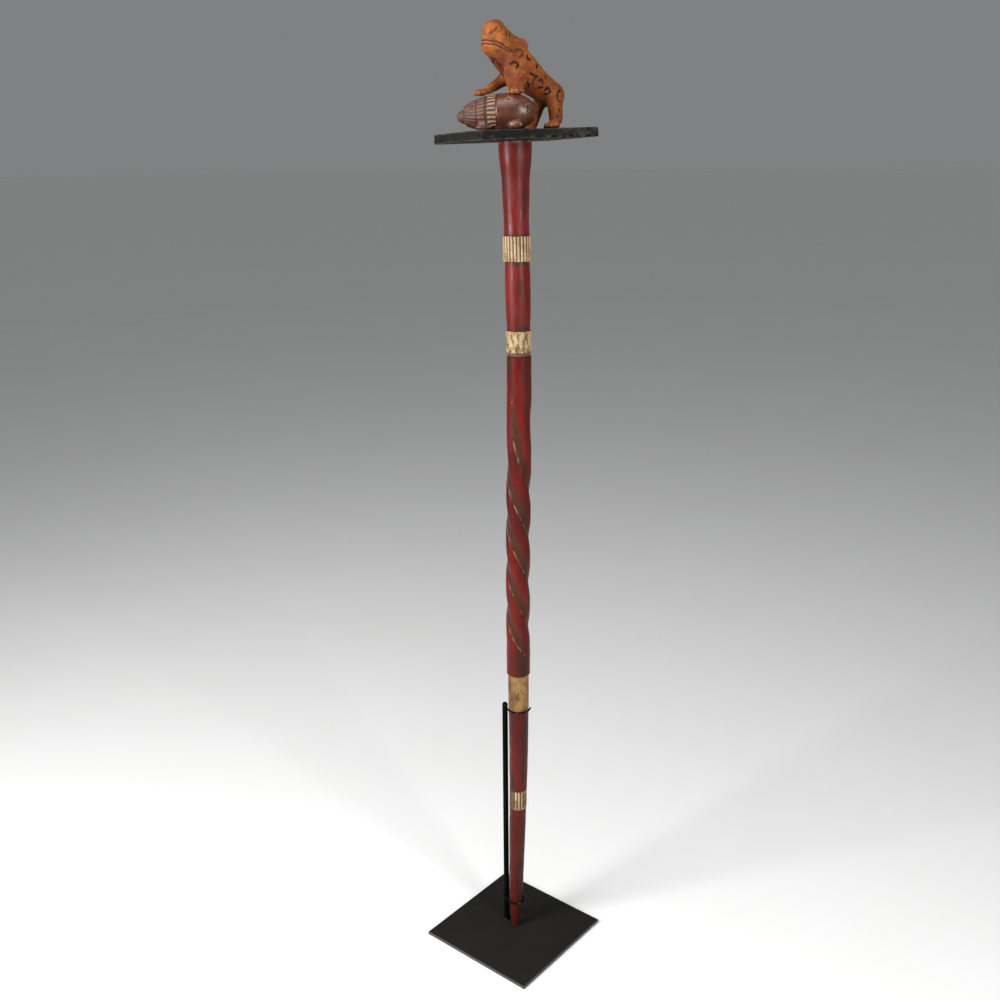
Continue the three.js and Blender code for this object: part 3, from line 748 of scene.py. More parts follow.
def stand_rod(material):
    hook_z, _, rod = hook_and_rod()
    radius = ROD_DIAMETER / 2
    top = hook_z + ROD_ABOVE_HOOK + WIRE_DIAMETER / 2
    weld = np.linspace(0, 1, 7)
    flare = (WELD_DIAMETER - ROD_DIAMETER) / 2 * (1 - weld) ** 2
    shaft_heights = np.linspace(FOOT_Z + WELD_HEIGHT + 2, top - radius, 60)
    dome = np.radians([20, 40, 55, 68, 80])
    dome_heights = top - radius + radius * np.sin(dome)
    heights = np.concatenate([FOOT_Z + WELD_HEIGHT * weld, shaft_heights, dome_heights])
    radii = np.concatenate([radius + flare, np.full(len(shaft_heights), radius), radius * np.cos(dome)])
    piece, angles, heights, radii = turned_blank("stand_upright", [(heights, radii)], 48)
    in_weld = 1 - smoothstep(heights, FOOT_Z + 1, FOOT_Z + WELD_HEIGHT + 2)
    radii = radii + 0.35 * in_weld * (np.sin(angles * 9) * 0.6 + np.sin(angles * 4 + 1) * 0.6 - 0.6)
    points = np.stack([rod[0] + radii * np.cos(angles), rod[1] + radii * np.sin(angles), heights], axis=1)
    set_points(piece, points)
    mark(piece, "worn", 0.8 * in_weld * smoothstep(ripple(points, 6, 3), 0, 0.8))
    finish_piece(piece, "stand_rod", [material])


def wire_piece(name, points):
    """Round wire along a smooth line through the points."""
    shares = np.linspace(0, 1, WIRE_RINGS)
    radii = np.full(WIRE_RINGS, WIRE_DIAMETER / 2)
    piece, angles, shares, radii = turned_blank(name, [(shares, radii)], 16)
    middle = along(points, shares)
    tangent = along(points, np.minimum(shares + 0.01, 1)) - along(points, np.maximum(shares - 0.01, 0))
    tangent /= np.linalg.norm(tangent, axis=1)[:, None]
    beside = np.cross(tangent, [0.0, 0.0, 1.0])
    beside /= np.linalg.norm(beside, axis=1)[:, None]
    upward = np.cross(beside, tangent)
    around = beside * np.cos(angles)[:, None] + upward * np.sin(angles)[:, None]
    set_points(piece, middle + around * radii[:, None])
    outward(piece)
    return piece


def bead(place, sizes):
    """A small lump of weld metal."""
    deselect()
    bpy.ops.mesh.primitive_uv_sphere_add(segments=20, ring_count=14, radius=1, location=place * MM)
    lump = bpy.context.object
    lump.scale = [size * MM for size in sizes]
    bpy.ops.object.transform_apply(location=True, rotation=True, scale=True)
    points = points_of(lump)
    set_points(lump, points + 0.25 * normals_of(lump) * ripple(points, 2.5, 4)[:, None])
    return lump


def beside_rod(rod, bearing, height):
    reach = (ROD_DIAMETER + WIRE_DIAMETER) / 2 + GAP
    place = rod + reach * direction(bearing)
    place[2] = height
    return place


def arc(centre, radius, start, end, count, height):
    places = []
    for bearing in np.linspace(start, end, count + 1):
        place = centre + radius * direction(bearing)
        place[2] = height
        places.append(place)
    return places


def closed_wire(name, parts, node, material):
    piece = merged(parts, name)
    modify(piece, "REMESH", mode="VOXEL", voxel_size=0.35 * MM)
    modify(piece, "SMOOTH", factor=0.5, iterations=3)
    mark(piece, "worn", 0.4 * smoothstep(ripple(points_of(piece), 7, 6), 0.5, 1))
    finish_piece(piece, node, [material])


def stand_upper_hook(material):
    hook_z, shaft_radius, rod = hook_and_rod()
    centre = shaft_centre(hook_z)
    radius = shaft_radius + WIRE_DIAMETER / 2 + 2 * GAP
    root = beside_rod(rod, ROD_BEARING + 135, hook_z)
    points = [root, *arc(centre, radius, ROD_BEARING + 50, HOOK_END_BEARING - 14, 8, hook_z)]
    end = centre + (radius + WIRE_DIAMETER / 4) * direction(HOOK_END_BEARING)
    end[2] = hook_z + HOOK_FLICK
    points.append(end)
    weld = bead(root, (2.3, 2.3, 2.6))
    closed_wire("stand_hook", [wire_piece("hook_wire", points), weld], "stand_upper_hook", material)


def stand_lower_ring(material):
    _, _, rod = hook_and_rod()
    ring_z = RING_SEAT_Z + RING_ABOVE_TIP
    centre = shaft_centre(ring_z)
    bearing = math.degrees(math.atan2(rod[1] - centre[1], rod[0] - centre[0]))
    shaft_radius = along(FOOT_TAPER_DIAMETERS, RING_ABOVE_TIP / FOOT_TAPER_LENGTH) / 2
    radius = shaft_radius + RING_CLEARANCE + WIRE_DIAMETER / 2
    first = beside_rod(rod, bearing + 90, ring_z)
    last = beside_rod(rod, bearing - 90, ring_z)
    points = [first, *arc(centre, radius, bearing + 60, bearing + 300, 9, ring_z), last]
    parts = [wire_piece("ring_wire", points), bead(first, (2.2, 2.2, 2.4)), bead(last, (2.2, 2.2, 2.4))]
    closed_wire("stand_foot_ring", parts, "stand_lower_ring", material)


# Board and figures

def board_matrix():
    """From the board's underside, at its middle, to the staff's own millimetres."""
    centre = shaft_centre(BOARD_Z) + BOARD_SHIFT * direction(BOW_BEARING)
    turn = Matrix.Rotation(math.radians(BOARD_BEARING), 4, "Z")
    turn = turn @ Matrix.Rotation(math.radians(-BOARD_RISE), 4, "Y")
    turn = turn @ Matrix.Rotation(math.radians(BOARD_LEAN), 4, "X")
    return Matrix.Translation((centre[0], centre[1], BOARD_Z)) @ turn


def figure_matrix():
    return board_matrix() @ Matrix.Translation((0, 0, BOARD_THICKNESS))


def apply(matrix, points):
    matrix = np.array(matrix)
    return points @ matrix[:3, :3].T + matrix[:3, 3]


def chip_depth(local):
    """How deep each point lies in the chips along the board's lower near edge."""
    deep = np.zeros(len(local))
    for chip in range(CHIP_COUNT):
        size = 1.35 * CHIP_SIZE * (0.75 + 0.25 * math.cos(3 * chip))
        place = np.array([BOARD_LENGTH / 2 * (chip + 1.2) / (CHIP_COUNT + 0.6), -BOARD_WIDTH / 2, 0])
        away = np.linalg.norm((local - place) / np.array([1.5 * size, size, size]), axis=1)
        deep = np.maximum(deep, 1 - smoothstep(away, 0.75, 1.25))
    return deep


def board(material):
    """The CAD board's form, cut finer and roughly hewn."""
    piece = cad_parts["figure_board"].copy()
    piece.data = piece.data.copy()
    piece.parent = None
    for key in list(piece.keys()):
        del piece[key]
    piece.name = "finial_board"
    bpy.context.scene.collection.objects.link(piece)
    choose(piece)
    bpy.ops.object.mode_set(mode="EDIT")
    bpy.ops.mesh.select_all(action="SELECT")
    bpy.ops.mesh.remove_doubles(threshold=0.01 * MM)
    bpy.ops.object.mode_set(mode="OBJECT")
    piece.data.materials.clear()
    modify(piece, "REMESH", mode="VOXEL", voxel_size=1.3 * MM)
    modify(piece, "SMOOTH", factor=0.5, iterations=2)
    inverse = board_matrix().inverted()
    local = apply(inverse, points_of(piece))
    from_end = BOARD_LENGTH / 2 - np.abs(local[:, 0])
    from_side = BOARD_WIDTH / 2 - np.abs(local[:, 1])
    sides = 1 - smoothstep(np.minimum(from_end, from_side), 1.5, 4)
    chip = chip_depth(local)
    hewn = ripple(local * np.array([0.25, 1, 1.5]), 9, 41) * 0.35 + ripple(local, 5, 42) * 0.2
    local += normals_of_local(piece, inverse) * ((hewn - 0.45) * (0.35 + 0.65 * sides))[:, None]
    set_points(piece, apply(board_matrix(), local))
    from_face = BOARD_THICKNESS / 2 - np.abs(local[:, 2] - BOARD_THICKNESS / 2)
    corner = 1 - smoothstep(np.maximum(from_face, np.minimum(from_end, from_side)), 0.6, 2.6)
    chipped = smoothstep(ripple(local, 11, 43), 0.35, 0.9) * sides * smoothstep(-local[:, 2], -9, -2)
    # Lighter grey towards the right end, painted light where that end catches more of it.
    painted_light_right_end = 0.28 * smoothstep(local[:, 0], -20, 80)
    bruised = 2.4 * chip * (1 - chip) * sides
    # The chip mark darkens the notches, for bare wood and painted shade.
    mark(piece, "chip", smoothstep(chip, 0.45, 0.85) * sides)
    worn = np.maximum(np.maximum(0.5 * corner, 0.45 * chipped), np.maximum(painted_light_right_end, bruised))
    mark(piece, "worn", worn)
    finish_piece(piece, "figure_board", [material])


def normals_of_local(piece, inverse):
    turn = np.array(inverse)[:3, :3]
    return normals_of(piece) @ turn.T


def ball(centre, half_sizes, pitch=0, bearing=0):
    deselect()
    bpy.ops.mesh.primitive_uv_sphere_add(
        segments=32,
        ring_count=20,
        radius=1,
        location=Vector(centre) * MM,
        rotation=(0, math.radians(pitch), math.radians(bearing)),
    )
    piece = bpy.context.object
    piece.scale = Vector(half_sizes) * MM
    return piece


def round_ends(shares, first_end, last_end):
    first = np.maximum(0, 1 - shares / first_end)
    last = np.maximum(0, 1 - (1 - shares) / last_end)
    past = np.maximum(first, last)
    return np.sqrt(np.maximum(0, 1 - past**2))


def limb(points, half_widths, half_heights, ends=(0.12, 0.12)):
    """A rounded form along a smooth line, from a sphere primitive."""
    deselect()
    bpy.ops.mesh.primitive_uv_sphere_add(segments=32, ring_count=40, radius=MM)
    piece = bpy.context.object
    unit = points_of(piece)
    shares = np.arccos(np.clip(unit[:, 2], -1, 1)) / math.pi
    angles = np.arctan2(unit[:, 1], unit[:, 0])
    middle = along(points, shares)
    tangent = along(points, np.minimum(shares + 0.004, 1)) - along(points, np.maximum(shares - 0.004, 0))
    tangent /= np.linalg.norm(tangent, axis=1)[:, None]
    across = np.array([0.0, 1.0, 0.0]) - tangent * tangent[:, 1:2]
    across /= np.linalg.norm(across, axis=1)[:, None]
    upward = np.cross(tangent, across)
    fullness = round_ends(shares, *ends)
    width = along(half_widths, shares) * fullness * np.cos(angles)
    height = along(half_heights, shares) * fullness * np.sin(angles)
    set_points(piece, middle + across * width[:, None] + upward * height[:, None])
    return piece


def paw(place, sizes, bearing):
    x, y, z = place
    length, width, height = sizes
    forms = [ball(place, (length * 0.85, width, height), 0, bearing)]
    for toe in (-1, 0, 1):
        reach = length * (0.8 if toe == 0 else 0.68)
        centre = np.array([x, y, z - height * 0.2])
        centre = centre + reach * direction(bearing + 180) + toe * width * 0.58 * direction(bearing + 90)
        forms.append(ball(centre, (length * 0.38, width * 0.34, height * 0.75), 0, bearing))
    return forms


def hind_leg(side, knee, ankle, fullness):
    leg = [(62, 15, 48), (knee, 20, 32), ((knee + 2 * ankle) / 3, 23, 17), (ankle, 24, 6)]
    points = [(x, side * y, z) for x, y, z in leg]
    half_lengths = [half * fullness for half in (14, 12, 11, 9.5)]
    return [
        ball((62, side * 15.5, 45), (15.5 * fullness, 11, 17 * fullness), -10),
        limb(points, (12, 11, 9.5, 8.5), half_lengths),
    ]


def leopard_body():
    spine = [
        (86, 0, 44), (67, 0, 50), (48, 0, 60.5), (28, 0, 73), (10, 0, 87),
        (-7, 0, 100), (-21, 0, 113), (-33, 0, 124), (-42, 0, 131),
    ]
    widths = (21, 24, 23, 23, 25, 24, 22, 20, 17)
    heights = (17, 18, 19.5, 23, 24.5, 25, 24.5, 23, 19)
    near = [(2, -11, 92), (-10, -17, 78), (-11, -18, 66), (-8, -16, 54)]
    far = [(0, 16, 76), (-12, 20, 68), (-25, 22, 61), (-39, 22, 56)]
    tail = [(80, 5, 57), (87, 9, 50), (88, 13, 36), (86, 17, 22), (84, 17, 13)]
    return [
        limb(spine, widths, heights, (0.13, 0.1)),
        ball((-33.5, 0, 131), (19, 17, 16.5), 27),
        ball((-40, 0, 114.5), (15.5, 16, 12.5), 27),
        ball((-37, 0, 123), (17, 16, 13), 27),
        ball((-28, 0, 142), (11, 11, 7.5), 27),
        ball((-1, 0, 119), (19, 13, 11), 18),
        *hind_leg(-1, 58, 55, 1),
        *hind_leg(1, 58, 50, 0.72),
        ball((-3, -16, 82), (15, 10, 17), 25),
        limb(near, (11, 11, 10, 8), (12, 22, 18.5, 11)),
        ball((-1, 14, 78), (13, 10, 16), 25),
        limb(far, (11, 8.5, 7, 6.5), (12, 8.5, 7, 6)),
        limb(tail, (5, 4, 3.6, 3.6, 3.8), (5, 4, 3.6, 3.6, 3.8)),
    ]


def leopard_ends():
    return [
        *paw((49.5, -24, 5), (13, 9, 6.5), 4),
        *paw((44.5, 24, 5), (13, 9, 6.5), -4),
        *paw((-10, -16, 53.5), (14, 10.5, 5.5), 20),
        *paw((-45, 22, 54.5), (11, 8, 5), 0),
        ball((7.5, -13.5, 116), (10, 5, 7), 45),
        ball((7.5, 13.5, 116), (10, 5, 7), 45),
    ]


def carved(forms, name, voxel, smoothing):
    piece = merged(forms, name)
    modify(piece, "REMESH", mode="VOXEL", voxel_size=voxel * MM)
    modify(piece, "SMOOTH", factor=0.5, iterations=smoothing)
    return piece


def hollowness(piece, rounds=6):
    """How far each point lies in a hollow, from about -1 on an edge to 1 in a cleft."""
    mesh = piece.data
    edges = np.empty(len(mesh.edges) * 2, int)
    mesh.edges.foreach_get("vertices", edges)
    edges = edges.reshape(-1, 2)
    points = points_of(piece)
    count = np.bincount(edges.ravel(), minlength=len(points))[:, None]

    def neighbours(values):
        total = np.zeros_like(values)
        np.add.at(total, edges[:, 0], values[edges[:, 1]])
        np.add.at(total, edges[:, 1], values[edges[:, 0]])
        return total / np.maximum(count, 1)

    smooth = points
    for _ in range(rounds):
        smooth = neighbours(smooth)
    return np.sum((smooth - points) * normals_of(piece), axis=1)


# Marks seen from the camera

def camera_axes():
    forward = CAMERA_FORWARD.normalized()
    level = forward.cross(Vector((0, 0, 1))).normalized()
    up = level.cross(forward)
    right = math.cos(CAMERA_ROLL) * level + math.sin(CAMERA_ROLL) * up
    return right, right.cross(forward), forward


class Skin:
    """A figure's surface, on which marks are drawn from the picture's points."""

    def __init__(self, piece):
        self.tree = BVHTree.FromObject(piece, bpy.context.evaluated_depsgraph_get())
        self.inverse = figure_matrix().inverted()

    def seen(self, x, y):
        """The place in figure millimetres that the picture's point (x, y) shows, or None."""
        right, up, forward = camera_axes()
        across = (x - PICTURE_MIDDLE) / FOCAL_PIXELS
        down = (y - PICTURE_MIDDLE) / FOCAL_PIXELS
        way = forward + right * across - up * down
        hit = self.tree.ray_cast(CAMERA_PLACE * MM, way.normalized())[0]
        return None if hit is None else np.array(self.inverse @ (hit / MM))

    def line(self, picture_points):
        places = [self.seen(x, y) for x, y in picture_points]
        return np.array([place for place in places if place is not None]).reshape(-1, 3)

    def settled(self, places):
        """The nearest places on the surface."""
        matrix = figure_matrix()
        nearest = [self.tree.find_nearest((matrix @ Vector(place)) * MM)[0] for place in places]
        return np.array([self.inverse @ (near / MM) for near in nearest]).reshape(-1, 3)


def distance_to(points, line):
    if len(line) == 1:
        return np.linalg.norm(points - line[0], axis=1)
    best = np.full(len(points), 99.0)
    for start, end in zip(line[:-1], line[1:]):
        run = end - start
        share = np.clip(((points - start) @ run) / max(run @ run, 1e-9), 0, 1)
        best = np.minimum(best, np.linalg.norm(points - start - share[:, None] * run, axis=1))
    return best


def near_to(points, place, inner, outer):
    """1 within the inner distance from a place, and 0 beyond the outer one."""
    return 1 - smoothstep(np.linalg.norm(points - place, axis=1), inner, outer)


def stroke(points, line, half_width):
    uneven = 0.3 * half_width * ripple(points, 4, 71)
    return 1 - smoothstep(distance_to(points, line) + uneven, half_width * 0.5, half_width * 1.15)


def stroke_and_mirror(points, line, half_width):
    return np.maximum(stroke(points, line, half_width), stroke(points, line * MIRROR, half_width))


# Marks on the figures, as lines through points of the picture
BLACK_MARKS = [
    [(510.6, 64), (512.6, 62.4), (514.6, 62), (517.6, 62.9), (518.3, 65.4), (516.4, 68)],
    [(491.2, 57.9), (493.6, 58.6), (496, 60.4)],
    [(497.4, 62.8), (499, 64.2), (500.2, 66)],
    [(527.2, 56), (527.8, 58.7), (530, 60)],
    [(537.3, 64.2), (536.8, 67.2)],
    [(530.2, 73), (533.4, 75.2), (537.6, 76.6)],
    [(535.2, 76.8), (534, 80.4)],
    [(539.2, 81), (540.6, 79.4), (542, 79.8), (542.6, 82.8)],
    [(538.1, 88), (542, 87.5)],
    [(545.4, 90.2), (546.2, 87.9), (548.8, 88), (550, 91.6)],
    [(545.2, 94.3), (548.8, 93.7)],
    [(545.4, 75.8), (546, 78)],
    [(560.2, 90), (557.7, 92.6), (557, 96.6), (558.2, 100.2), (560.2, 101.2)],
    [(559.3, 110), (559.5, 111.6)],
    [(557.6, 115.4), (558, 116.8)],
    [(527.6, 82.4), (528.8, 84.6), (528.2, 88)],
    [(524.6, 85.4), (525.4, 89.4)],
    [(532.4, 83), (533.2, 84)],
]
EAR_MARK = [(514.6, 51), (517.8, 49.4), (520.6, 48.9), (522.7, 51), (522, 55), (519.6, 57.2)]
# A dark line along the eye, also cut in; its dark is partly a painted shadow.
EYE_MARK = [(489.6, 33), (493, 31), (497.8, 27.4)]
MOUTH_LINES = [
    [(482.4, 40.3), (490, 40.6), (496.7, 41.7), (502.2, 43.8), (505.6, 46.7), (508.9, 48.6), (512.8, 50.6)],
    [(482.6, 43.7), (488.9, 44.1), (495.6, 44.5), (500, 46.7), (504.4, 49), (508.9, 51.1), (513.3, 52.4)],
]
LIPS = [(485, 42), (496, 43.2), (502.6, 45.6), (507.6, 49.2), (511.6, 51.4)]
BROW_LINES = [
    [(505.6, 28.8), (506.4, 36)],
    [(508.6, 30.6), (509.6, 37.2)],
    [(511.6, 32.6), (512.8, 37.8)],
]
# Pale strokes; the last two follow the carved shoulder edge, where the pale is a painted highlight.
PALE_STROKES = [
    [(530.4, 80), (529.4, 84)],
    [(526.2, 81), (526.8, 88)],
    [(522.4, 84.8), (523.4, 91)],
    [(519.4, 86.8), (520.4, 91)],
    [(520.3, 75.5), (521.8, 72.4), (524.4, 71), (527.4, 69.6)],
    [(514, 76.6), (516, 73.2), (518.6, 70.8)],
]
RED_PATCHES = [
    ((509.5, 51), 5), ((524, 42), 9), ((528, 68), 8), ((516, 58), 7), ((536, 88), 8), ((541, 85), 5),
    ((508, 74), 9), ((495, 80), 7), ((500, 62), 7), ((541, 96), 6), ((514, 82), 4), ((486, 90), 4),
    ((529, 104), 6), ((546, 88), 5), ((514, 78), 7), ((521, 77), 8), ((534, 66), 5),
]
PREY_EYES = [
    [(505.6, 98.6), (508.8, 96.6), (512, 98), (512.2, 100), (509, 101.4), (506, 100.4), (505.6, 98.6)],
    [(511.2, 123), (513.4, 121.4), (515.6, 123), (513.4, 124.8), (511.2, 123)],
]
PREY_NOSTRIL = [(528.4, 106), (528.8, 108.4), (528.4, 110.8)]
PREY_LIP = [(525.4, 105), (527.8, 103.4), (530.4, 104)]


def both_sides(local, skin, places, half_width, shift=(0, 0, 0)):
    """A painted stroke that the picture shows, and its like on the far side, moved by a shift."""
    near = skin.line(places)
    far = skin.settled(near * MIRROR + shift)
    return np.maximum(stroke(local, near, half_width), stroke(local, far, half_width))


def face_strokes(local, skin, head):
    """The face's painted lines, cuts, lips and eye, alike on both sides, and how far the eye is."""
    side = local * SIDE_VIEW

    def drawn(places, half_width):
        return stroke(side, skin.line(places) * SIDE_VIEW, half_width) * head

    line = np.maximum.reduce([drawn(places, 1.2) for places in MOUTH_LINES + BROW_LINES])
    cut = np.maximum.reduce([drawn(places, 1.6) for places in MOUTH_LINES])
    from_eye = distance_to(side, skin.line(EYE_MARK) * SIDE_VIEW)
    return line, cut, drawn(LIPS, 3.4), 0.8 * drawn(EYE_MARK, 1.3), from_eye


def coat_marks(local, skin):
    """The black marks on the cat's coat."""
    black = np.zeros(len(local))
    for index, places in enumerate(BLACK_MARKS):
        shift = (5 * math.sin(2 * index), 0, 3 * math.cos(3 * index))
        half_width = 2.05 + 0.35 * math.sin(5 * index)
        black = np.maximum(black, both_sides(local, skin, places, half_width, shift))
    return black


def red_patches(local, skin):
    red = np.zeros(len(local))
    for place, size in RED_PATCHES:
        centre = skin.seen(*place)
        if centre is not None:
            red = np.maximum(red, near_to(local, centre, size * 0.5, size * 1.5))
            red = np.maximum(red, near_to(local, centre * MIRROR, size * 0.5, size * 1.5))
    return red


def leopard(material):
    piece = carved(leopard_body(), "finial_leopard", 1.7, 14)
    piece = carved([piece, *leopard_ends()], "finial_leopard", 0.95, 5)
    local = points_of(piece)
    local[:, 2] = np.maximum(local[:, 2], GAP)
    set_points(piece, apply(figure_matrix(), local))
    skin = Skin(piece)
    head = 1 - smoothstep(local[:, 0], 0, 8)
    line, cut, lips, eye, from_eye = face_strokes(local, skin, head)
    line = np.maximum(np.maximum(line, eye), both_sides(local, skin, EAR_MARK, 1.5))
    black = coat_marks(local, skin)
    pale = np.maximum.reduce([both_sides(local, skin, places, 0.8) for places in PALE_STROKES])
    red = red_patches(local, skin)
    normals = normals_of(piece)
    # Painted shade on the downward-facing underside, which also reddens it.
    underside_shade = smoothstep(-normals[:, 2], 0.15, 0.8) * smoothstep(local[:, 2], 30, 44)
    underside_shade *= 1 - smoothstep(local[:, 2], 96, 106)
    socket = 1 - smoothstep(from_eye, 0.5, 5)
    moved = 0.9 * cut + 0.7 * eye + 0.2 * black + 0.3 * pale + 0.7 * socket * head
    moved = moved + 0.22 * ripple(local, 9, 51)
    local = local - normals_of_local(piece, figure_matrix().inverted()) * moved[:, None]
    set_points(piece, apply(figure_matrix(), local))
    hollow = hollowness(piece)
    # Black along the bottom of the feet: dark paint on the toes and the painted shadow where they meet the
    # board.
    soles_paint_and_shadow = 1 - smoothstep(local[:, 2], 2.4, 4.2)
    # Painted shade on the chest, under the chin.
    chest_shade = smoothstep(-normals[:, 0], 0.3, 0.9) * smoothstep(local[:, 2], 60, 75)
    chest_shade *= 1 - smoothstep(local[:, 2], 98, 106)
    # Painted shade in hollows, under the body and on the chest.
    shade = np.maximum(smoothstep(hollow, 0.15, 0.6), np.maximum(0.1 * underside_shade, 0.5 * chest_shade))
    mark(piece, "black", np.maximum(black, soles_paint_and_shadow))
    mark(piece, "line", line)
    # Pale hair strokes, and paler raised edges as worn paint and painted highlight.
    mark(piece, "pale", np.maximum(0.6 * pale, 0.5 * smoothstep(-hollow, 0.15, 0.5)))
    # Redder paint in patches and on the lips, and a reddish painted shade on the underside.
    mark(piece, "red", np.maximum(np.maximum(0.8 * red, 0.4 * underside_shade), 0.65 * lips))
    mark(piece, "shade", shade)
    finish_piece(piece, "leopard", [material])


def prey_forms():
    body = [(-49, 0, 23), (-22, 0, 24.5), (4, 0, 25.5), (30, 0, 25), (57.5, 0, 21.5)]
    sizes = (13, 21, 25.3, 26, 25, 21.5)
    tail = [(-59, 0, 22), (-54, 0, 22.5), (-44, 0, 23)]
    forms = [limb(body, sizes, sizes, (0.05, 0.33)), limb(tail, (3, 8, 11), (3, 8, 11))]
    for side in (-1, 1):
        forms.append(ball((20, side * 12, 45), (5, 4, 3.4)))
        forms.append(ball((28, side * 19.5, 7), (12, 6, 6), 0, side * 12))
        forms.append(ball((-18, side * 18.5, 7), (12, 6, 6)))
    return forms


def quill_pattern(own):
    """The quilled rear, its ridges and the rings cut round it, each from 0 to 1."""
    angle = np.arctan2(own[:, 2] - PREY_AXIS_HEIGHT, own[:, 1])
    away = np.hypot(own[:, 2] - PREY_AXIS_HEIGHT, own[:, 1])
    ridge = 0.5 + 0.5 * np.cos(PREY_RIDGES * angle + 0.7 * ripple(own, 26, 61))
    body = smoothstep(away, 9, 12) * smoothstep(own[:, 2], 4, 8)
    rear = (1 - smoothstep(own[:, 0], 0.2, 1.2)) * body
    from_ring = np.min(np.abs(own[:, :1] - np.array(PREY_RINGS)), axis=1)
    rings = (1 - smoothstep(from_ring, 0.35, 1)) * body
    return body, rear, ridge, rings


def quill_paint(own, quill, body):
    """Pale paint on the quills: a broad row, a narrow row, then faint long ones."""
    x = own[:, 0]
    broad = smoothstep(x, -11.8, -11) * (1 - smoothstep(x, 0.2, 1))
    narrow = smoothstep(x, -27, -25) * (1 - smoothstep(x, -16.6, -15.8))
    long_ones = smoothstep(x, -50, -44) * (1 - smoothstep(x, -29, -28))
    uneven = smoothstep(ripple(own, 6, 63), -0.7, 0)
    pale = np.maximum(broad * (0.6 + 0.3 * uneven), 0.26 * narrow * uneven)
    pale = np.maximum(pale, 0.22 * long_ones * smoothstep(ripple(own, 9, 64), -0.2, 0.5))
    return pale * quill * body


def prey_face(own, skin, turn):
    """The pale lines, pupils and nostrils of the prey's face, alike on both sides."""
    pale = np.zeros(len(own))
    pupil = np.zeros(len(own))
    for places in PREY_EYES:
        near = apply(turn.inverted(), skin.line(places))
        pale = np.maximum(pale, 0.7 * stroke_and_mirror(own, near, 1.05))
        for ring in (near, near * MIRROR):
            pupil = np.maximum(pupil, near_to(own, ring[:-1].mean(axis=0), 1.4, 2.4))
    lip = apply(turn.inverted(), skin.line(PREY_LIP))
    nostril = apply(turn.inverted(), skin.line(PREY_NOSTRIL))
    pale = np.maximum(pale, 0.35 * stroke_and_mirror(own, lip, 1.3))
    return pale, pupil, stroke_and_mirror(own, nostril, 1.3)


def prey(material):
    piece = carved(prey_forms(), "finial_prey", 0.85, 4)
    own = points_of(piece)
    own[:, 2] = np.maximum(own[:, 2], GAP)
    x = own[:, 0]
    body, rear, ridge, rings = quill_pattern(own)
    quill = smoothstep(ridge, 0.35, 0.62)
    pale = quill_paint(own, quill, body)
    set_points(piece, own)
    relief = rear * (0.6 * (ridge - 0.5)) * (1 - rings) - 0.5 * rings + 0.07 * ripple(own, 11, 65)
    own = own + normals_of(piece) * relief[:, None]
    turn = Matrix.Translation((*PREY_PLACE, 0)) @ Matrix.Rotation(math.radians(PREY_BEARING), 4, "Z")
    set_points(piece, apply(figure_matrix(), apply(turn, own)))
    lines, pupil, nostril = prey_face(own, Skin(piece), turn)
    normals = normals_of_local(piece, (figure_matrix() @ turn).inverted())
    own = own + normals * (0.35 * lines - 0.7 * nostril)[:, None]
    set_points(piece, apply(figure_matrix() @ turn, own))
    hollow = hollowness(piece, 5)
    cone = 1 - smoothstep(x, -51, -47)
    rubbed = smoothstep(ripple(own, 7, 66), -0.1, 0.5)
    rubbed *= (1 - smoothstep(own[:, 2], 5, 9)) * smoothstep(x, -10, 2)
    dust = 0.08 * rear * smoothstep(ripple(own, 12, 67), -0.3, 0.7) * (1 - smoothstep(x, -28, -20))
    # Painted shadow along the bottom where the prey sits on the board, and painted shade between the
    # quills.
    low = 0.5 * (1 - smoothstep(own[:, 2], 1, 4))
    cleft_shade = rear * (1 - quill) * np.where(x > -16, 0.85, 0.75)
    mark(piece, "dull", np.maximum(rear, cone))
    mark(piece, "pale", np.maximum(pale, 0.85 * lines))
    mark(piece, "worn", np.maximum(np.maximum(0.2 * cone, 0.7 * rubbed), dust))
    mark(piece, "black", np.maximum(np.maximum(0.35 * pupil, nostril), 0.7 * rings))
    mark(piece, "shade", np.maximum(smoothstep(hollow, 0.15, 0.5), np.maximum(low, cleft_shade)))
    finish_piece(piece, "quilled_prey", [material])


# Studio

def floor():
    deselect()
    bpy.ops.mesh.primitive_plane_add(size=FLOOR_SIZE)
    ground = bpy.context.object
    ground.name = "studio_floor"
    coat = Finish("pale_floor")
    base = coat.mix(coat.noise(3, 2), colour("#fafaf8"), colour("#ffffff"))
    ground.data.materials.append(coat.wear(base, 0.8, 0.2))


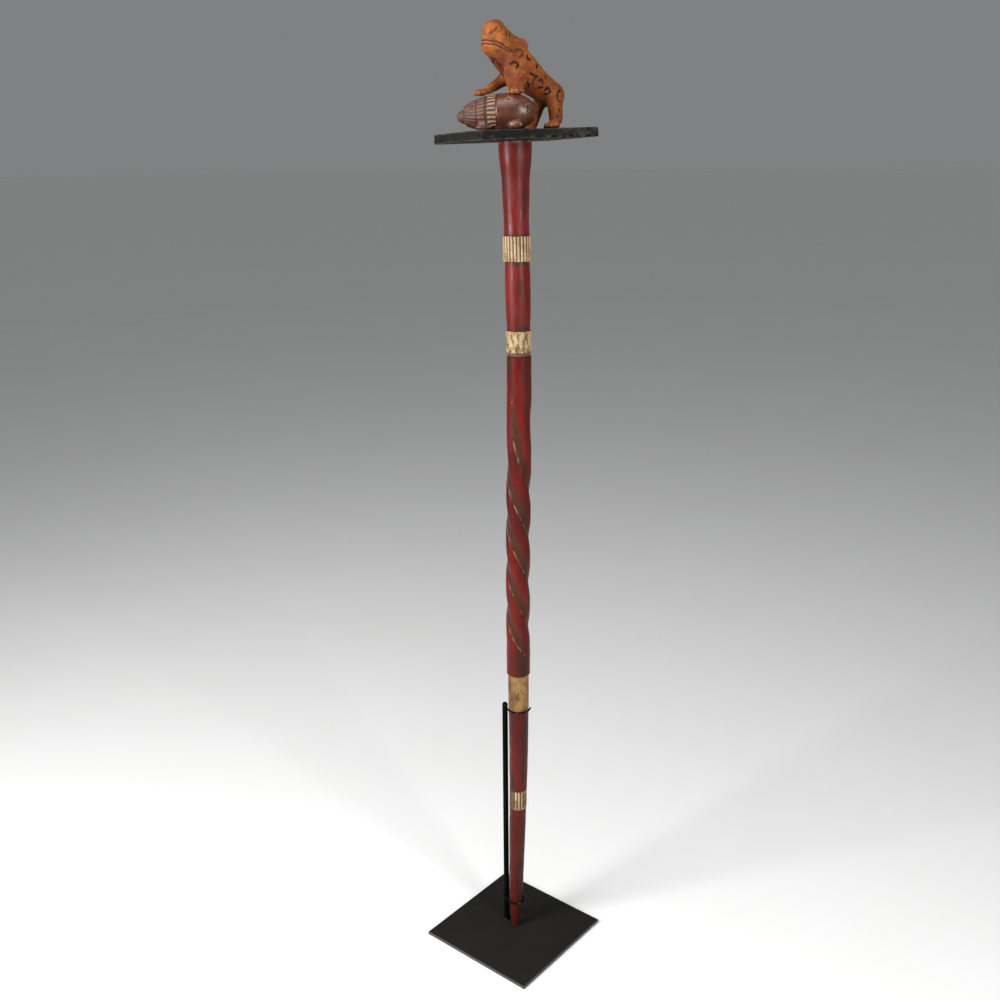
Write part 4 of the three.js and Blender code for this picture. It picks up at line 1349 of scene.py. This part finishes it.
def softbox(name, bearing, distance, height, width, tall, power):
    """A soft light that faces the staff from a bearing, its place and size in metres."""
    place = Vector(direction(bearing) * distance)
    place.z = height
    aim = Vector((0, 0, 0.85))
    shape = bpy.data.lights.new(name, "AREA")
    shape.shape = "RECTANGLE"
    shape.size = width
    shape.size_y = tall
    shape.energy = power
    lamp = bpy.data.objects.new(name, shape)
    bpy.context.scene.collection.objects.link(lamp)
    lamp.location = place
    lamp.rotation_euler = (aim - place).to_track_quat("-Z", "Y").to_euler()


def studio():
    floor()
    world = bpy.data.worlds.new("soft_room")
    bpy.context.scene.world = world
    world.use_nodes = True
    background = world.node_tree.nodes["Background"]
    background.inputs["Color"].default_value = (0.8, 0.81, 0.82, 1)
    background.inputs["Strength"].default_value = 0.27
    softbox("left_softbox", CAMERA_BEARING - 60, 2.1, 1.65, 0.9, 1.5, 62)
    softbox("right_softbox", CAMERA_BEARING + 34, 2.1, 1.65, 0.6, 1.5, 32)
    softbox("top_softbox", CAMERA_BEARING - 20, 0.9, 2.9, 1.4, 1.2, 18)


def camera():
    right, up, forward = camera_axes()
    shape = bpy.data.cameras.new("camera")
    shape.sensor_width = SENSOR_WIDTH
    shape.sensor_fit = "HORIZONTAL"
    shape.lens = SENSOR_WIDTH * FOCAL_PIXELS / (2 * PICTURE_MIDDLE)
    eye = bpy.data.objects.new("camera", shape)
    bpy.context.scene.collection.objects.link(eye)
    turn = Matrix((right, up, -forward)).transposed().to_4x4()
    eye.matrix_world = Matrix.Translation(CAMERA_PLACE * MM) @ turn
    bpy.context.scene.camera = eye


def staff():
    # The three red paints are copies of one paint, darker down the staff: the lower two are darkened partly
    # as painted shade for the dimmer light lower down.
    red = red_paint("red_gloss_paint")
    dark_red = red_paint("dark_red_paint", "#591512", "#3b0f0c", 0.47, 0.15)
    ivory = ivory_paint()
    steel = black_steel()
    lower_shaft([dark_red, ivory, bare_wood()])
    middle_shaft([red_paint("satin_red_paint", "#701812", "#4b110d", 0.5, 0.15)])
    upper_shaft([red, ivory])
    board(black_board())
    leopard(leopard_varnish())
    prey(prey_varnish())
    stand_base(steel)
    stand_rod(steel)
    stand_upper_hook(steel)
    stand_lower_ring(steel)


camera()
studio()
staff()
bpy.context.scene.view_settings.view_transform = "Standard"
